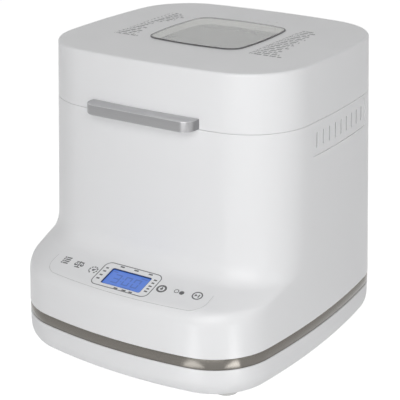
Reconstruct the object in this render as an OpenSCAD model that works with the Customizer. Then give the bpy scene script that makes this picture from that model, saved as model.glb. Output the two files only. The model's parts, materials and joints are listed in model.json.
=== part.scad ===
// Countertop bread machine: a drafted tower with a forward control deck, a round-bottomed base tub behind a
// metal band, and a hinged lid with a window. Inside are the heated chamber, the lift-out bread pan with its
// kneader, and a belt drive from an upright motor.
// Origin: centre of the footprint on the supporting surface. +X right, +Y back, +Z up. Millimetres.

/* [Body] */
// Width across the sides at the band
body_w = 290; // [270:1:310]
// Depth of the tower at the band
tower_d = 260; // [245:1:275]
// Reach of the control deck in front of the tower
deck_reach = 56.6; // [48:0.2:64]
// Height of the lid's top above the surface
overall_h = 300; // [296:1:312]
// Height of the seam between housing and lid
seam_z = 242.4; // [238:0.2:245]
// Height of the band's upper edge
band_top = 43; // [41:0.5:46]
// Height of the metal band
band_h = 11.2; // [9:0.2:13]
// Sideways lean of the walls for each millimetre of height
draft = 0.03; // [0:0.005:0.04]
// Radius of the tower's upright corners
corner_r = 65; // [50:1:75]
// Radius of the base's front corners
front_corner_r = 65.6; // [50:0.2:75]
// Radius of the bulging sides and back
side_bulge_r = 760; // [600:10:1200]
// Radius of the bulging front of the tower
tower_front_r = 860; // [600:10:1200]
// Radius of the bulging front of the base
base_front_r = 493; // [400:1:700]
// Wall of the housing, the lid and the tub
shell_t = 2.8; // [2:0.1:3.2]
// Wall of the metal band
band_t = 1.2; // [0.8:0.1:1.5]

/* [Control deck] */
// Height at which the front wall begins to round over
deck_edge_z = 75; // [70:0.5:79]
// Radius of the round-over at the front of the deck
deck_edge_r = 14; // [8:0.5:16]
// Slope of the deck in degrees
deck_slope = 16.5; // [12:0.5:20]
// Radius of the hollow where the deck meets the tower
deck_hollow_r = 22; // [15:1:30]

/* [Tub] */
// Height of the tub's underside
tub_floor_z = 3; // [2:0.5:4]
// Height of the rounding between the tub's floor and its wall
tub_round_h = 16; // [12:0.5:20]
// How far the rounding pulls the tub's floor in
tub_round_in = 10; // [6:0.5:14]
// Radius of a foot
foot_r = 11; // [8:0.5:14]
// Distance of a foot from the nearest side
foot_inset = 40; // [38:1:46]

/* [Fits] */
// Gap between fixed pieces that sit in each other
seat_gap = 0.3; // [0.2:0.05:0.4]
// Radial running clearance of shafts and pins
run_gap = 0.06; // [0.03:0.01:0.09]
// Gap at the seam under the lid
seam_gap = 0.8; // [0.5:0.1:1.2]

/* [Lid] */
// Height of the rounded edge around the lid's top
lid_edge_r = 2.5; // [1:0.5:4]
// Width of the window cut-out
window_w = 111; // [90:1:124]
// Depth of the window cut-out
window_d = 111; // [90:1:124]
// Distance of the window's centre from the tower's centre
window_shift = 6; // [0:0.5:10]
// Corner radius of the window
window_r = 16; // [12:1:24]
// Radius of the window's bulging sides
window_bulge_r = 300; // [200:10:600]
// Height of the window pane above the lid's top
pane_proud = 1; // [0.5:0.1:1.4]
// Thickness of the window panes
pane_t = 3; // [2:0.5:4]
// Width of the dark gasket around the window
gasket_w = 0.8; // [0.6:0.1:1.2]
// Height of the lid's top above the liner's ceiling
lid_room = 15; // [12:0.5:20]
// Thickness of the lid liner
liner_t = 1.6; // [1:0.1:2]
// Length of the handle bar
handle_w = 120; // [90:1:150]
// Height of the handle bar
handle_h = 10.5; // [8:0.5:13]
// How far the handle stands out of the lid
handle_out = 15.5; // [10:0.5:18]
// Corner radius of the handle bar
handle_r = 12; // [6:0.5:14]

/* [Vents] */
// Length of the recessed grille around the slots
vent_w = 116; // [112:1:120]
// Height of the recessed grille
vent_h = 30; // [24:1:32]
// Corner radius of the grille
vent_r = 6; // [3:0.5:8]
// Depth of the grille below the wall's surface
vent_inset = 0.6; // [0.3:0.1:1]
// Number of slots in each side
slot_count = 9; // [5:1:9]
// Distance from slot to slot
slot_pitch = 12; // [10:0.5:13]
// Width of a slot
slot_w = 2.4; // [1.5:0.1:4]
// Height of a slot
slot_h = 15; // [10:0.5:18]
// Distance of the slots' middle below the seam
slot_drop = 18; // [14:0.5:22]
// Number of steam holes in the lid top
steam_count = 5; // [3:1:7]
// Distance from steam hole to steam hole
steam_pitch = 10.8; // [8:0.2:12]
// Radius of a steam hole
steam_r = 1.1; // [0.8:0.1:1.6]

/* [Chamber] */
// Room between the chamber and the band at each side
side_room = 38; // [34:0.5:40]
// Inner depth of the baking chamber
chamber_d = 176; // [172:1:184]
// Corner radius of the baking chamber
chamber_r = 30; // [24:1:36]
// Height of the chamber's floor
chamber_floor_z = 62; // [61:0.5:64]
// Thickness of the chamber's sheet steel
sheet_t = 1; // [0.6:0.1:1.2]
// Air gap between the chamber and the heat shield
shield_gap = 5; // [3:0.5:6]
// Thickness of the collar around the chamber's mouth
collar_t = 3; // [2:0.5:4]
// Radius of the heater's tube
heater_r = 3.3; // [2.8:0.1:3.8]
// Height of the heater above the chamber's floor
heater_lift = 24; // [18:0.5:30]
// Distance of the heater's middle line from the chamber's wall
heater_off = 9; // [8:0.5:10]

/* [Pan] */
// Room between the pan and the chamber at each side
pan_room = 21; // [19:0.5:25]
// Outer depth of the bread pan
pan_d = 132; // [124:1:136]
// Height of the bread pan
pan_h = 122; // [110:1:124]
// Corner radius of the bread pan
pan_r = 22; // [16:1:28]
// Wall of the bread pan
pan_t = 2; // [1.5:0.1:2.5]
// Height of the pan's bottom above the chamber's floor
pan_lift = 18; // [17:0.5:19]
// Width of the pan's rolled rim
rim_w = 4; // [3:0.5:5]
// Radius of the bail's wire
bail_r = 2; // [1.6:0.1:2.4]
// Distance of the bail's pivots below the rim
bail_drop = 8; // [7:0.5:10]
// Radius of the ring under the pan
base_ring_r = 38; // [34:1:42]
// Wall of the ring under the pan
base_ring_t = 2.5; // [2:0.5:3]
// Height of the kneading paddle
paddle_h = 46; // [36:1:56]
// Reach of the kneading paddle
paddle_len = 36; // [28:1:42]

/* [Drive] */
// Radius of the drive shaft and the paddle shaft
shaft_r = 4; // [3.5:0.1:4.5]
// Radius of the large pulley
big_pulley_r = 45; // [40:1:50]
// Radius of the small pulley
small_pulley_r = 9; // [8:0.5:10]
// Height of the belt's middle
belt_z = 17; // [16:0.5:18]
// Width of the belt
belt_w = 8; // [6:0.5:9]
// Thickness of the belt
belt_t = 2; // [1.5:0.1:2.5]
// Radius of the bearing housing
bearing_r = 14; // [12:0.5:17]

/* [Motor] */
// Distance of the motor's axis to the right
motor_x = 74; // [70:1:78]
// Distance of the motor's axis in front of the tower's centre
motor_y = 133; // [130:1:136]
// Outer radius of the motor's stator
stator_r = 31; // [28:0.5:33]
// Height of the stator's stack
stator_h = 18; // [14:0.5:20]
// Radius of the motor's shaft
motor_shaft_r = 3; // [2.5:0.1:3.5]

/* [Controls] */
// Width of the display window
lcd_w = 46; // [42:0.5:56]
// Depth of the display window along the slope
lcd_d = 23.5; // [21:0.5:27]
// Depth of the display window below the deck's surface
display_drop = 1.2; // [0.6:0.1:1.6]
// Number of touch keys
key_count = 6; // [4:2:6]

/* [Hinge] */
// Distance of a hinge from the middle of the back
hinge_x = 52; // [44:1:60]
// Width of a hinge bracket
hinge_w = 26; // [22:1:30]
// Radius of a hinge knuckle
knuckle_r = 3.6; // [3.2:0.1:3.8]
// Radius of a hinge pin
pin_r = 1.6; // [1.4:0.1:1.8]

/* [Cord inlet] */
// Radius of the cord's hole in the gland
cord_r = 3.6; // [3:0.1:4]
// Radius of the gland's collar
gland_r = 9; // [7:0.5:11]

/* [Hidden] */
$fn = 48;
eps = 0.01;
tower_y = deck_reach / 2;
side_mid_y = tower_y / 2;
base_front = -(tower_d + deck_reach) / 2;
band_bottom = band_top - band_h;
chamber_w = body_w - 2 * side_room;
pan_w = chamber_w - 2 * pan_room;
lid_bottom = seam_z + seam_gap / 2;
body_top = seam_z - seam_gap / 2;
arc_n = 7;
corner_n = 9;

// --- outlines -------------------------------------------------------------------------------------------

// How far the walls have leaned in at height z
function lean(z) = draft * max(0, z - band_top);

// Centre of a corner arc that touches two larger arcs from inside
function corner_centre(c0, d0, c1, d1, sx, sy) =
  let (v = c1 - c0, l = norm(v), x = (d0 * d0 - d1 * d1 + l * l) / (2 * l),
    h = sqrt(max(d0 * d0 - x * x, 0)), e = v / l, p = c0 + x * e, q = [-e[1], e[0]],
    a = p + h * q, b = p - h * q)
  a[0] * sx + a[1] * sy > b[0] * sx + b[1] * sy ? a : b;

function angle_of(v) = atan2(v[1], v[0]);

// n points along an arc that runs counterclockwise from a0 to a1, without its last point
function arc_points(c, r, a0, a1, n) =
  let (sweep = a1 < a0 ? a1 + 360 - a0 : a1 - a0)
  [for (i = [0:n - 1]) c + r * [cos(a0 + sweep * i / n), sin(a0 + sweep * i / n)]];

// Closed outline of eight arcs: half width a, front edge yf, back edge yb
function bulged_outline(a, yf, yb, rf, rr, bulge, front_bulge, mid_y = side_mid_y) =
  let (c_r = [a - bulge, mid_y], c_l = [bulge - a, mid_y], c_b = [0, yb - bulge],
    c_f = [0, yf + front_bulge],
    rr_c = corner_centre(c_r, bulge - rr, c_b, bulge - rr, 1, 1),
    rf_c = corner_centre(c_r, bulge - rf, c_f, front_bulge - rf, 1, -1),
    lr_c = [-rr_c[0], rr_c[1]], lf_c = [-rf_c[0], rf_c[1]])
  concat(
    arc_points(c_f, front_bulge, angle_of(lf_c - c_f), angle_of(rf_c - c_f), arc_n),
    arc_points(rf_c, rf, angle_of(rf_c - c_f), angle_of(rf_c - c_r), corner_n),
    arc_points(c_r, bulge, angle_of(rf_c - c_r), angle_of(rr_c - c_r), arc_n),
    arc_points(rr_c, rr, angle_of(rr_c - c_r), angle_of(rr_c - c_b), corner_n),
    arc_points(c_b, bulge, angle_of(rr_c - c_b), angle_of(lr_c - c_b), arc_n),
    arc_points(lr_c, rr, angle_of(lr_c - c_b), angle_of(lr_c - c_l), corner_n),
    arc_points(c_l, bulge, angle_of(lr_c - c_l), angle_of(lf_c - c_l), arc_n),
    arc_points(lf_c, rf, angle_of(lf_c - c_l), angle_of(lf_c - c_f), corner_n));

// Outline of the body at height z, moved in by inset, with the front reaching out by reach
function body_outline(z, inset, reach) =
  let (s = reach / deck_reach, d = inset + lean(z))
  bulged_outline(body_w / 2 - d, tower_y - tower_d / 2 - reach + d, tower_y + tower_d / 2 - d,
    corner_r + s * (front_corner_r - corner_r) - inset, corner_r - inset, side_bulge_r - inset,
    tower_front_r + s * (base_front_r - tower_front_r) - inset);

function ring(z, inset, reach) = [for (p = body_outline(z, inset, reach)) [p[0], p[1], z]];

// Rounded rectangle with its own corner radius, as points
function round_rect(w, d, r, n = 8) =
  concat(
    arc_points([w / 2 - r, -d / 2 + r], r, -90, 0, n), [[w / 2, -d / 2 + r]],
    arc_points([w / 2 - r, d / 2 - r], r, 0, 90, n), [[w / 2 - r, d / 2]],
    arc_points([-w / 2 + r, d / 2 - r], r, 90, 180, n), [[-w / 2, d / 2 - r]],
    arc_points([-w / 2 + r, -d / 2 + r], r, 180, 270, n), [[-w / 2 + r, -d / 2]]);

module rounded_plate(w, d, r, h) {
  linear_extrude(h) polygon(round_rect(w, d, r));
}

// Solid between rings of equal point counts; closed = true joins the last ring to the first
module loft(rings, closed = false) {
  m = len(rings);
  n = len(rings[0]);
  steps = closed ? m - 1 : m - 2;
  sides = [for (j = [0:steps]) for (i = [0:n - 1])
    let (a = j * n + i, b = j * n + (i + 1) % n, c = ((j + 1) % m) * n + (i + 1) % n,
      d = ((j + 1) % m) * n + i) each [[a, c, b], [a, d, c]]];
  caps = closed ? [] : [[for (i = [0:n - 1]) i], [for (i = [n - 1:-1:0]) (m - 1) * n + i]];
  polyhedron(points = [for (r = rings) each r], faces = concat(sides, caps), convexity = 8);
}

// --- deck profile ---------------------------------------------------------------------------------------

// Points [reach, z] of the deck from the front wall up to the tower, walked in by inset along the normals
deck_t = tan(deck_slope);
edge_c = [deck_reach - deck_edge_r, deck_edge_z];
deck_start = edge_c + deck_edge_r * [sin(deck_slope), cos(deck_slope)];
hollow_x = deck_hollow_r;
hollow_touch_x = hollow_x - deck_hollow_r * sin(deck_slope);
hollow_touch_z = deck_start[1] + (deck_start[0] - hollow_touch_x) * deck_t;
hollow_c = [hollow_x, hollow_touch_z + deck_hollow_r * cos(deck_slope)];
deck_n = 5;
deck_under_n = 3;
function deck_profile(t, n = deck_n) = concat(
  [for (i = [0:n]) let (a = i * (90 - deck_slope) / n)
    [edge_c[0] + (deck_edge_r - t) * cos(a) + t, edge_c[1] + (deck_edge_r - t) * sin(a)]],
  [for (i = [0:n]) let (a = 270 - deck_slope - i * (90 - deck_slope) / n)
    [hollow_c[0] + (deck_hollow_r + t) * cos(a) + t, hollow_c[1] + (deck_hollow_r + t) * sin(a)]]);

// --- shells ---------------------------------------------------------------------------------------------

band_seat = band_t + seat_gap / 2;
deck_under = deck_profile(shell_t, deck_under_n);
band_mid = band_bottom + band_h / 2;

module outer_housing() {
  outer = concat(
    [ring(band_mid + seat_gap, band_seat, deck_reach), ring(band_top + seat_gap / 2, band_seat, deck_reach),
      ring(band_top + seat_gap / 2 + eps, 0, deck_reach)],
    [for (p = deck_profile(0)) ring(p[1], 0, p[0])],
    [ring(body_top, 0, 0)]);
  inner = concat(
    [ring(body_top, shell_t, 0)],
    [for (i = [len(deck_under) - 1:-1:0]) ring(deck_under[i][1], shell_t, deck_under[i][0])],
    [ring(band_mid + seat_gap, shell_t, deck_reach)]);
  color("white") difference() {
    loft(concat(outer, inner), closed = true);
    vent_panel(0);
    hinge_notches(seam_z - hinge_drop, hinge_drop + 1);
    gland_cut();
    display_cut();
  }
}

// Slotted panels that sit a little below the surface of the side walls
module vent_grilles() {
  low = vent_z - vent_h / 2;
  deep = shell_t + vent_inset;
  color("white") difference() {
    intersection() {
      loft([ring(low, vent_inset, 0), ring(body_top, vent_inset, 0), ring(body_top, deep, 0),
        ring(low, deep, 0)], closed = true);
      vent_panel(seat_gap);
    }
    vent_slots();
  }
}

module base_tub() {
  steps = 4;
  tub_outer = [for (i = [0:steps]) let (a = 90 * i / steps)
    ring(tub_floor_z + tub_round_h * (1 - cos(a)), tub_round_in * (1 - sin(a)), deck_reach)];
  tub_inner = [for (i = [steps:-1:0]) let (a = 90 * i / steps)
    ring(tub_floor_z + shell_t + (tub_round_h - shell_t) * (1 - cos(a)),
      shell_t + tub_round_in * (1 - sin(a)), deck_reach)];
  color("white") difference() {
    loft(concat(tub_outer,
      [ring(band_bottom - seat_gap / 2, 0, deck_reach),
        ring(band_bottom - seat_gap / 2 + eps, band_seat, deck_reach),
        ring(band_mid - seat_gap, band_seat, deck_reach), ring(band_mid - seat_gap, shell_t, deck_reach)],
      tub_inner));
    at_posts() translate([0, 0, -1]) cylinder(r = post_screw_r + 0.4, h = tub_floor_z + shell_t + 2);
  }
}

module trim_band() {
  color("dimgray") difference() {
    translate([0, 0, band_bottom]) linear_extrude(band_h) polygon(body_outline(band_top, 0, deck_reach));
    translate([0, 0, band_bottom - 1]) linear_extrude(band_h + 2)
      polygon(body_outline(band_top, band_t, deck_reach));
  }
}

foot_x = body_w / 2 - foot_inset;
foot_back = tower_y + tower_d / 2 - foot_inset;
foot_front = base_front + foot_inset;
foot_mid = (foot_front + foot_back) / 2;
module at_feet() {
  for (x = [-foot_x, foot_x], y = [foot_front, foot_mid, foot_back]) translate([x, y, 0]) children();
}
module rubber_feet() {
  color("lightgray") at_feet() {
    cylinder(r = foot_r, h = tub_floor_z);
  }
}

// --- places shared by several pieces --------------------------------------------------------------------

chamber_y = tower_y + window_shift;
inner_floor = tub_floor_z + shell_t;
chassis_z = chamber_floor_z - 16;
chassis_t = 1.5;
chassis_top = chassis_z + chassis_t;
post_r = 5;
post_screw_r = 1.8;
post_x = chamber_w / 2 - 19;
post_reach = chamber_d / 2;
collar_top = body_top;
collar_z = collar_top - collar_t;
flange_w = shield_gap + 2 * sheet_t;
hinge_drop = 14;
back_at_seam = tower_y + tower_d / 2 - lean(seam_z);
hinge_y = back_at_seam + 1.2;
motor_pos = [motor_x, chamber_y - motor_y, 0];
pan_z = chamber_floor_z + pan_lift;
rim_z = pan_z + pan_h;
front_at = tower_y - tower_d / 2;

module at_chamber() {
  translate([0, chamber_y, 0]) children();
}

module at_posts() {
  for (x = [-post_x, post_x], y = [chamber_y - post_reach, chamber_y + post_reach])
    translate([x, y, 0]) children();
}

module tube(r_out, r_in, h) {
  difference() {
    cylinder(r = r_out, h = h);
    translate([0, 0, -1]) cylinder(r = r_in, h = h + 2);
  }
}

// --- cuts through the shells ----------------------------------------------------------------------------

vent_z = seam_z - slot_drop;
through_wall = 24;
module at_vents() {
  for (side = [-1, 1]) translate([side * body_w / 2 - through_wall / 2, chamber_y, vent_z]) children();
}

module vent_panel(gap) {
  at_vents() rotate([90, 0, 90])
    rounded_plate(vent_w - 2 * gap, vent_h - 2 * gap, vent_r - gap, through_wall);
}

module vent_slots() {
  at_vents() for (i = [0:slot_count - 1])
    translate([0, (i - (slot_count - 1) / 2) * slot_pitch - slot_w / 2, -slot_h / 2])
      cube([through_wall, slot_w, slot_h]);
}

module hinge_notches(z, h) {
  for (side = [-1, 1])
    translate([side * hinge_x - hinge_w / 2 - seat_gap, hinge_y - 14, z])
      cube([hinge_w + 2 * seat_gap, 28, h]);
}

gland_x = 70;
gland_z = chamber_floor_z - 2;
gland_neck_r = gland_r - 2.2;
gland_near = gland_x - gland_r;
gland_wall = tower_y + tower_d / 2 - lean(gland_z - gland_r) - gland_near * gland_near / side_bulge_r / 2;
gland_flange_t = 2;
module gland_cut() {
  translate([gland_x, gland_wall - 12, gland_z]) rotate([-90, 0, 0])
    cylinder(r = gland_neck_r + seat_gap, h = 24);
}

// Local frame on the deck: x right, y up the slope, z out of the surface
deck_mid = (deck_start[0] + hollow_touch_x) / 2;
deck_mid_z = deck_start[1] + (deck_start[0] - deck_mid) * deck_t;
module at_deck() {
  translate([0, front_at + lean(deck_mid_z) - deck_mid, deck_mid_z]) rotate([deck_slope, 0, 0])
    children();
}

lcd_shift = 1;
lcd_r = 2;
module display_cut() {
  at_deck() translate([lcd_shift, 0, -8]) rounded_plate(lcd_w, lcd_d, lcd_r, 16);
}

// --- housing interior -----------------------------------------------------------------------------------

module chamber_collar() {
  color("whitesmoke") difference() {
    translate([0, 0, collar_z]) linear_extrude(collar_t)
      polygon(body_outline(collar_top, shell_t + seat_gap, 0));
    at_chamber() translate([0, 0, collar_z - 1])
      rounded_plate(chamber_w, chamber_d, chamber_r, collar_t + 2);
    hinge_notches(collar_z - 1, collar_t + 2);
  }
}

module baking_chamber() {
  h = collar_z - chamber_floor_z;
  color("silver") at_chamber() difference() {
    union() {
      translate([0, 0, chamber_floor_z - sheet_t])
        rounded_plate(chamber_w + 2 * sheet_t, chamber_d + 2 * sheet_t, chamber_r + sheet_t, h + sheet_t);
      translate([0, 0, collar_z - sheet_t])
        rounded_plate(chamber_w + 2 * flange_w, chamber_d + 2 * flange_w, chamber_r + flange_w, sheet_t);
    }
    translate([0, 0, chamber_floor_z]) rounded_plate(chamber_w, chamber_d, chamber_r, h + 1);
    translate([0, 0, chamber_floor_z - 5]) cylinder(r = bearing_r + seat_gap, h = 10);
    for (x = [-terminal_x, terminal_x]) translate([x, -chamber_d / 2 - 4, heater_z]) rotate([-90, 0, 0])
      cylinder(r = heater_r + seat_gap, h = 8);
    translate([sensor_x, -chamber_d / 2 - 4, sensor_z]) rotate([-90, 0, 0])
      cylinder(r = sensor_r + seat_gap, h = 8);
  }
}

shield_w = chamber_w + 2 * (sheet_t + shield_gap);
shield_d = chamber_d + 2 * (sheet_t + shield_gap);
shield_r = chamber_r + sheet_t + shield_gap;
module heat_shield() {
  h = collar_z - sheet_t - seat_gap - chassis_top;
  color("lightgray") at_chamber() difference() {
    translate([0, 0, chassis_top])
      rounded_plate(shield_w + 2 * sheet_t, shield_d + 2 * sheet_t, shield_r + sheet_t, h);
    translate([0, 0, chassis_top - 1]) rounded_plate(shield_w, shield_d, shield_r, h + 2);
    translate([-terminal_x - 12, -shield_d / 2 - 5, heater_z - 12]) cube([2 * terminal_x + 24, 10, 34]);
  }
}

heater_z = chamber_floor_z + heater_lift;
terminal_x = 30;
terminal_len = 16;
heater_w = chamber_w - 2 * heater_off;
heater_d = chamber_d - 2 * heater_off;
heater_bend = chamber_r - heater_off;

// Tube of radius r swept along points that lie in one level plane
module level_tube(path, r, sides = 10) {
  n = len(path);
  rings = [for (i = [0:n - 1])
    let (t = path[min(i + 1, n - 1)] - path[max(i - 1, 0)], u = t / norm(t), side = [-u[1], u[0], 0])
    [for (k = [0:sides - 1]) path[i] + r * (cos(360 * k / sides) * side + sin(360 * k / sides) * [0, 0, 1])]];
  loft(rings);
}

function lift(points, z) = [for (p = points) [p[0], p[1], z]];

module heating_element() {
  loop = round_rect(heater_w, heater_d, heater_bend, 6);
  turn = 8;
  path = concat(
    [[terminal_x, -chamber_d / 2 - terminal_len, heater_z]],
    [for (a = [180:-30:90]) [terminal_x + turn + turn * cos(a), -heater_d / 2 - turn + turn * sin(a),
      heater_z]],
    lift(loop, heater_z),
    [for (a = [90:-30:0]) [-terminal_x - turn + turn * cos(a), -heater_d / 2 - turn + turn * sin(a),
      heater_z]],
    [[-terminal_x, -chamber_d / 2 - terminal_len, heater_z]]);
  color("darkgray") at_chamber() level_tube(path, heater_r);
}

// Hooks that stand on the chamber's floor and cradle the heater
module heater_clips() {
  clip_t = 3;
  reach = heater_r + 2.5;
  low = heater_z - heater_r - seat_gap;
  color("gainsboro") at_chamber() for (side = [-1, 1], y = [-1, 1])
    translate([side * heater_w / 2, y * 30, 0]) {
      translate([-reach, -clip_t / 2, chamber_floor_z]) cube([2 * reach, clip_t, low - chamber_floor_z]);
      for (x = [-1, 1]) translate([x * (reach - 0.9) - 0.9, -clip_t / 2, low - eps])
        cube([1.8, clip_t, heater_r + 1]);
    }
}

sensor_x = 60;
sensor_z = heater_z + 40;
sensor_r = 3;
module temperature_sensor() {
  color("silver") at_chamber() translate([sensor_x, -chamber_d / 2 - sheet_t, sensor_z]) {
    rotate([-90, 0, 0]) translate([0, 0, -3]) cylinder(r = sensor_r, h = 16);
    rotate([90, 0, 0]) cylinder(r = sensor_r + 1.8, h = 1.5);
  }
}

module thermal_fuse() {
  color("silver") at_chamber()
    translate([-sensor_x, -chamber_d / 2 - sheet_t, sensor_z]) rotate([90, 0, 0]) {
      cylinder(r = 7, h = 2);
      cylinder(r = 4, h = 4.6);
    }
}

seat_r = base_ring_r + 0.4;
seat_h = 12;
module pan_seat() {
  color("darkgray") at_chamber() translate([0, 0, chamber_floor_z]) {
    tube(seat_r + 3, seat_r, seat_h);
    difference() {
      tube(seat_r + 8, seat_r + 2, 2);
      for (a = [45:90:315]) rotate([0, 0, a]) translate([seat_r + 5.4, 0, -1]) cylinder(r = 1.2, h = 4);
    }
  }
}

stator_seat = stator_r + seat_gap;
module chassis_plate() {
  color("silver") difference() {
    translate([0, 0, chassis_z]) linear_extrude(chassis_t)
      polygon(body_outline(band_top, shell_t + 8, deck_reach));
    at_chamber() translate([0, 0, chassis_z - 1]) cylinder(r = bearing_r + seat_gap, h = chassis_t + 2);
    translate(motor_pos + [0, 0, chassis_z - 1]) cylinder(r = stator_seat, h = chassis_t + 2);
    at_posts() translate([0, 0, chassis_z - 1]) cylinder(r = post_screw_r + seat_gap, h = chassis_t + 2);
  }
}

screw_len = 14;
module chassis_posts() {
  color("whitesmoke") at_posts() translate([0, 0, inner_floor]) difference() {
    cylinder(r = post_r, h = chassis_z - inner_floor);
    translate([0, 0, -1]) cylinder(r = post_screw_r + run_gap, h = screw_len + 1);
  }
}

bush_r = shaft_r + 3;
bush_h = 9;
bearing_low = belt_z + belt_w / 2 + 4;
bearing_high = chamber_floor_z - sheet_t / 2;
module bearing_housing() {
  color("silver") at_chamber() difference() {
    union() {
      translate([0, 0, bearing_low]) cylinder(r = bearing_r, h = bearing_high - bearing_low);
      translate([0, 0, chassis_top]) cylinder(r = bearing_r + 16, h = 3);
    }
    translate([0, 0, bearing_low - 1]) cylinder(r = bush_r, h = bearing_high - bearing_low + 2);
    for (a = [0:120:240]) rotate([0, 0, a]) translate([bearing_r + 10, 0, chassis_top - 1])
      cylinder(r = 2, h = 5);
  }
}

module drive_bushes() {
  color("goldenrod") at_chamber() for (z = [bearing_low, bearing_high - bush_h])
    translate([0, 0, z]) tube(bush_r, shaft_r + run_gap, bush_h);
}

// --- drive ----------------------------------------------------------------------------------------------

pulley_h = belt_w + 2;
shaft_low = belt_z - pulley_h / 2 - 2;
coupling_z = chamber_floor_z + 1;
coupling_r = 16;
disc_h = 3;
dog_h = 7;
module drive_shaft() {
  color("silver") at_chamber() translate([0, 0, shaft_low])
    cylinder(r = shaft_r, h = coupling_z + disc_h - shaft_low);
}

module drive_coupling() {
  color("gray") at_chamber() translate([0, 0, coupling_z]) {
    tube(coupling_r, shaft_r, disc_h);
    for (a = [0, 180]) rotate([0, 0, a]) translate([9, -4, disc_h - eps]) cube([5.5, 8, dog_h]);
  }
}

module pulley(r, bore, h) {
  groove = h - belt_w - 0.8;
  difference() {
    union() {
      cylinder(r = r, h = h);
      cylinder(r = r + belt_t, h = groove / 2);
      translate([0, 0, h - groove / 2]) cylinder(r = r + belt_t, h = groove / 2);
    }
    translate([0, 0, -1]) cylinder(r = bore, h = h + 2);
  }
}

module drive_pulley() {
  color("dimgray") at_chamber() translate([0, 0, belt_z - pulley_h / 2]) difference() {
    pulley(big_pulley_r, shaft_r, pulley_h);
    for (a = [0:60:300]) rotate([0, 0, a]) translate([big_pulley_r * 0.6, 0, -1])
      cylinder(r = big_pulley_r * 0.2, h = pulley_h + 2);
  }
}

belt_gap = 0.1;
module drive_belt() {
  c0 = [0, chamber_y];
  c1 = [motor_pos[0], motor_pos[1]];
  v = c1 - c0;
  l = norm(v);
  dir = angle_of(v);
  lay = acos((big_pulley_r - small_pulley_r) / l);
  function band(t) = concat(
    arc_points(c0, big_pulley_r + t, dir + lay, dir - lay + 360, 40),
    [c0 + (big_pulley_r + t) * [cos(dir - lay), sin(dir - lay)]],
    arc_points(c1, small_pulley_r + t, dir - lay, dir + lay, 14),
    [c1 + (small_pulley_r + t) * [cos(dir + lay), sin(dir + lay)]]);
  color("black") translate([0, 0, belt_z - belt_w / 2]) linear_extrude(belt_w) difference() {
    polygon(band(belt_t + belt_gap));
    polygon(band(belt_gap));
  }
}

stator_z = chassis_z - 7;
stator_bore = 16.2;
coil_h = 6;
cap_t = 3;
cap_wall = 2;
module motor_stator() {
  color("silver") translate(motor_pos + [0, 0, stator_z]) difference() {
    cylinder(r = stator_r, h = stator_h);
    translate([0, 0, -1]) cylinder(r = stator_bore, h = stator_h + 2);
    for (a = [0:45:315]) rotate([0, 0, a]) translate([stator_r * 0.72, 0, -1])
      cylinder(r = 3, h = stator_h + 2);
  }
}

module motor_windings() {
  color("peru") translate(motor_pos) for (z = [stator_z - coil_h, stator_z + stator_h])
    translate([0, 0, z]) tube(stator_r - cap_wall - 1, stator_bore + 1.4, coil_h);
}

module motor_end_caps() {
  depth = coil_h + 1;
  color("silver") translate(motor_pos) {
    translate([0, 0, stator_z - depth - cap_t]) {
      tube(stator_r - 0.5, motor_shaft_r + run_gap, cap_t);
      translate([0, 0, cap_t - eps]) tube(stator_r - 0.5, stator_r - 0.5 - cap_wall, depth + eps);
    }
    translate([0, 0, stator_z + stator_h]) {
      translate([0, 0, depth]) tube(stator_r - 0.5, motor_shaft_r + run_gap, cap_t);
      tube(stator_r - 0.5, stator_r - 0.5 - cap_wall, depth + eps);
    }
  }
}

module motor_bracket() {
  plate = 2 * stator_r + 14;
  color("silver") translate(motor_pos + [0, 0, chassis_top]) difference() {
    translate([-plate / 2, -plate / 2 + 2, 0]) cube([plate, plate - 4, 2]);
    translate([0, 0, -1]) cylinder(r = stator_r + run_gap, h = 4);
    for (x = [-1, 1], y = [-1, 1]) translate([x, y, 0] * (plate / 2 - 7) + [0, 0, -1])
      cylinder(r = 2, h = 4);
  }
}

module motor_rotor() {
  low = belt_z - pulley_h / 2 - 2;
  high = stator_z + stator_h + coil_h + 1 + cap_t + 3;
  color("gray") translate(motor_pos) {
    translate([0, 0, low]) cylinder(r = motor_shaft_r, h = high - low);
    translate([0, 0, stator_z + 0.5]) cylinder(r = stator_bore - 0.5, h = stator_h - 1);
  }
}

module motor_pulley() {
  color("dimgray") translate(motor_pos + [0, 0, belt_z - pulley_h / 2])
    pulley(small_pulley_r, motor_shaft_r, pulley_h);
}

module motor_capacitor() {
  color("white") translate([-motor_x, chamber_y - chamber_d / 2 - shield_gap - 30, chassis_top]) {
    cylinder(r = 14, h = 34);
    for (x = [-4, 4]) translate([x - 1.5, -0.4, 34 - eps]) cube([3, 0.8, 5]);
  }
}

// --- electrics ------------------------------------------------------------------------------------------

board_t = 1.6;
board_x = body_w / 2 - shell_t - 8;
power_w = 76;
power_h = 96;
module power_board() {
  color("darkgreen") translate([-board_x, chamber_y - power_w / 2, chassis_top])
    cube([board_t, power_w, power_h]);
}

module on_power_board(y, z) {
  translate([-board_x + board_t, chamber_y + y, chassis_top + z]) children();
}

module transformer() {
  color("dimgray") on_power_board(-34, 8) cube([13, 36, 30]);
}

module relay() {
  color("steelblue") on_power_board(10, 12) cube([11, 15, 20]);
}

module terminal_block() {
  color("ivory") on_power_board(-20, 76) cube([9, 40, 10]);
}

board_drop = shell_t + 8.2;
control_w = 172;
control_d = 26;
module control_board() {
  color("darkgreen") at_deck() translate([lcd_shift - control_w / 2, -control_d / 2, -board_drop - board_t])
    cube([control_w, control_d, board_t]);
}

module lcd_module() {
  h = board_drop - shell_t - seat_gap;
  color("gainsboro") at_deck() translate([lcd_shift - lcd_w / 2, -lcd_d / 2, -board_drop])
    cube([lcd_w, lcd_d, h]);
}

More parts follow.
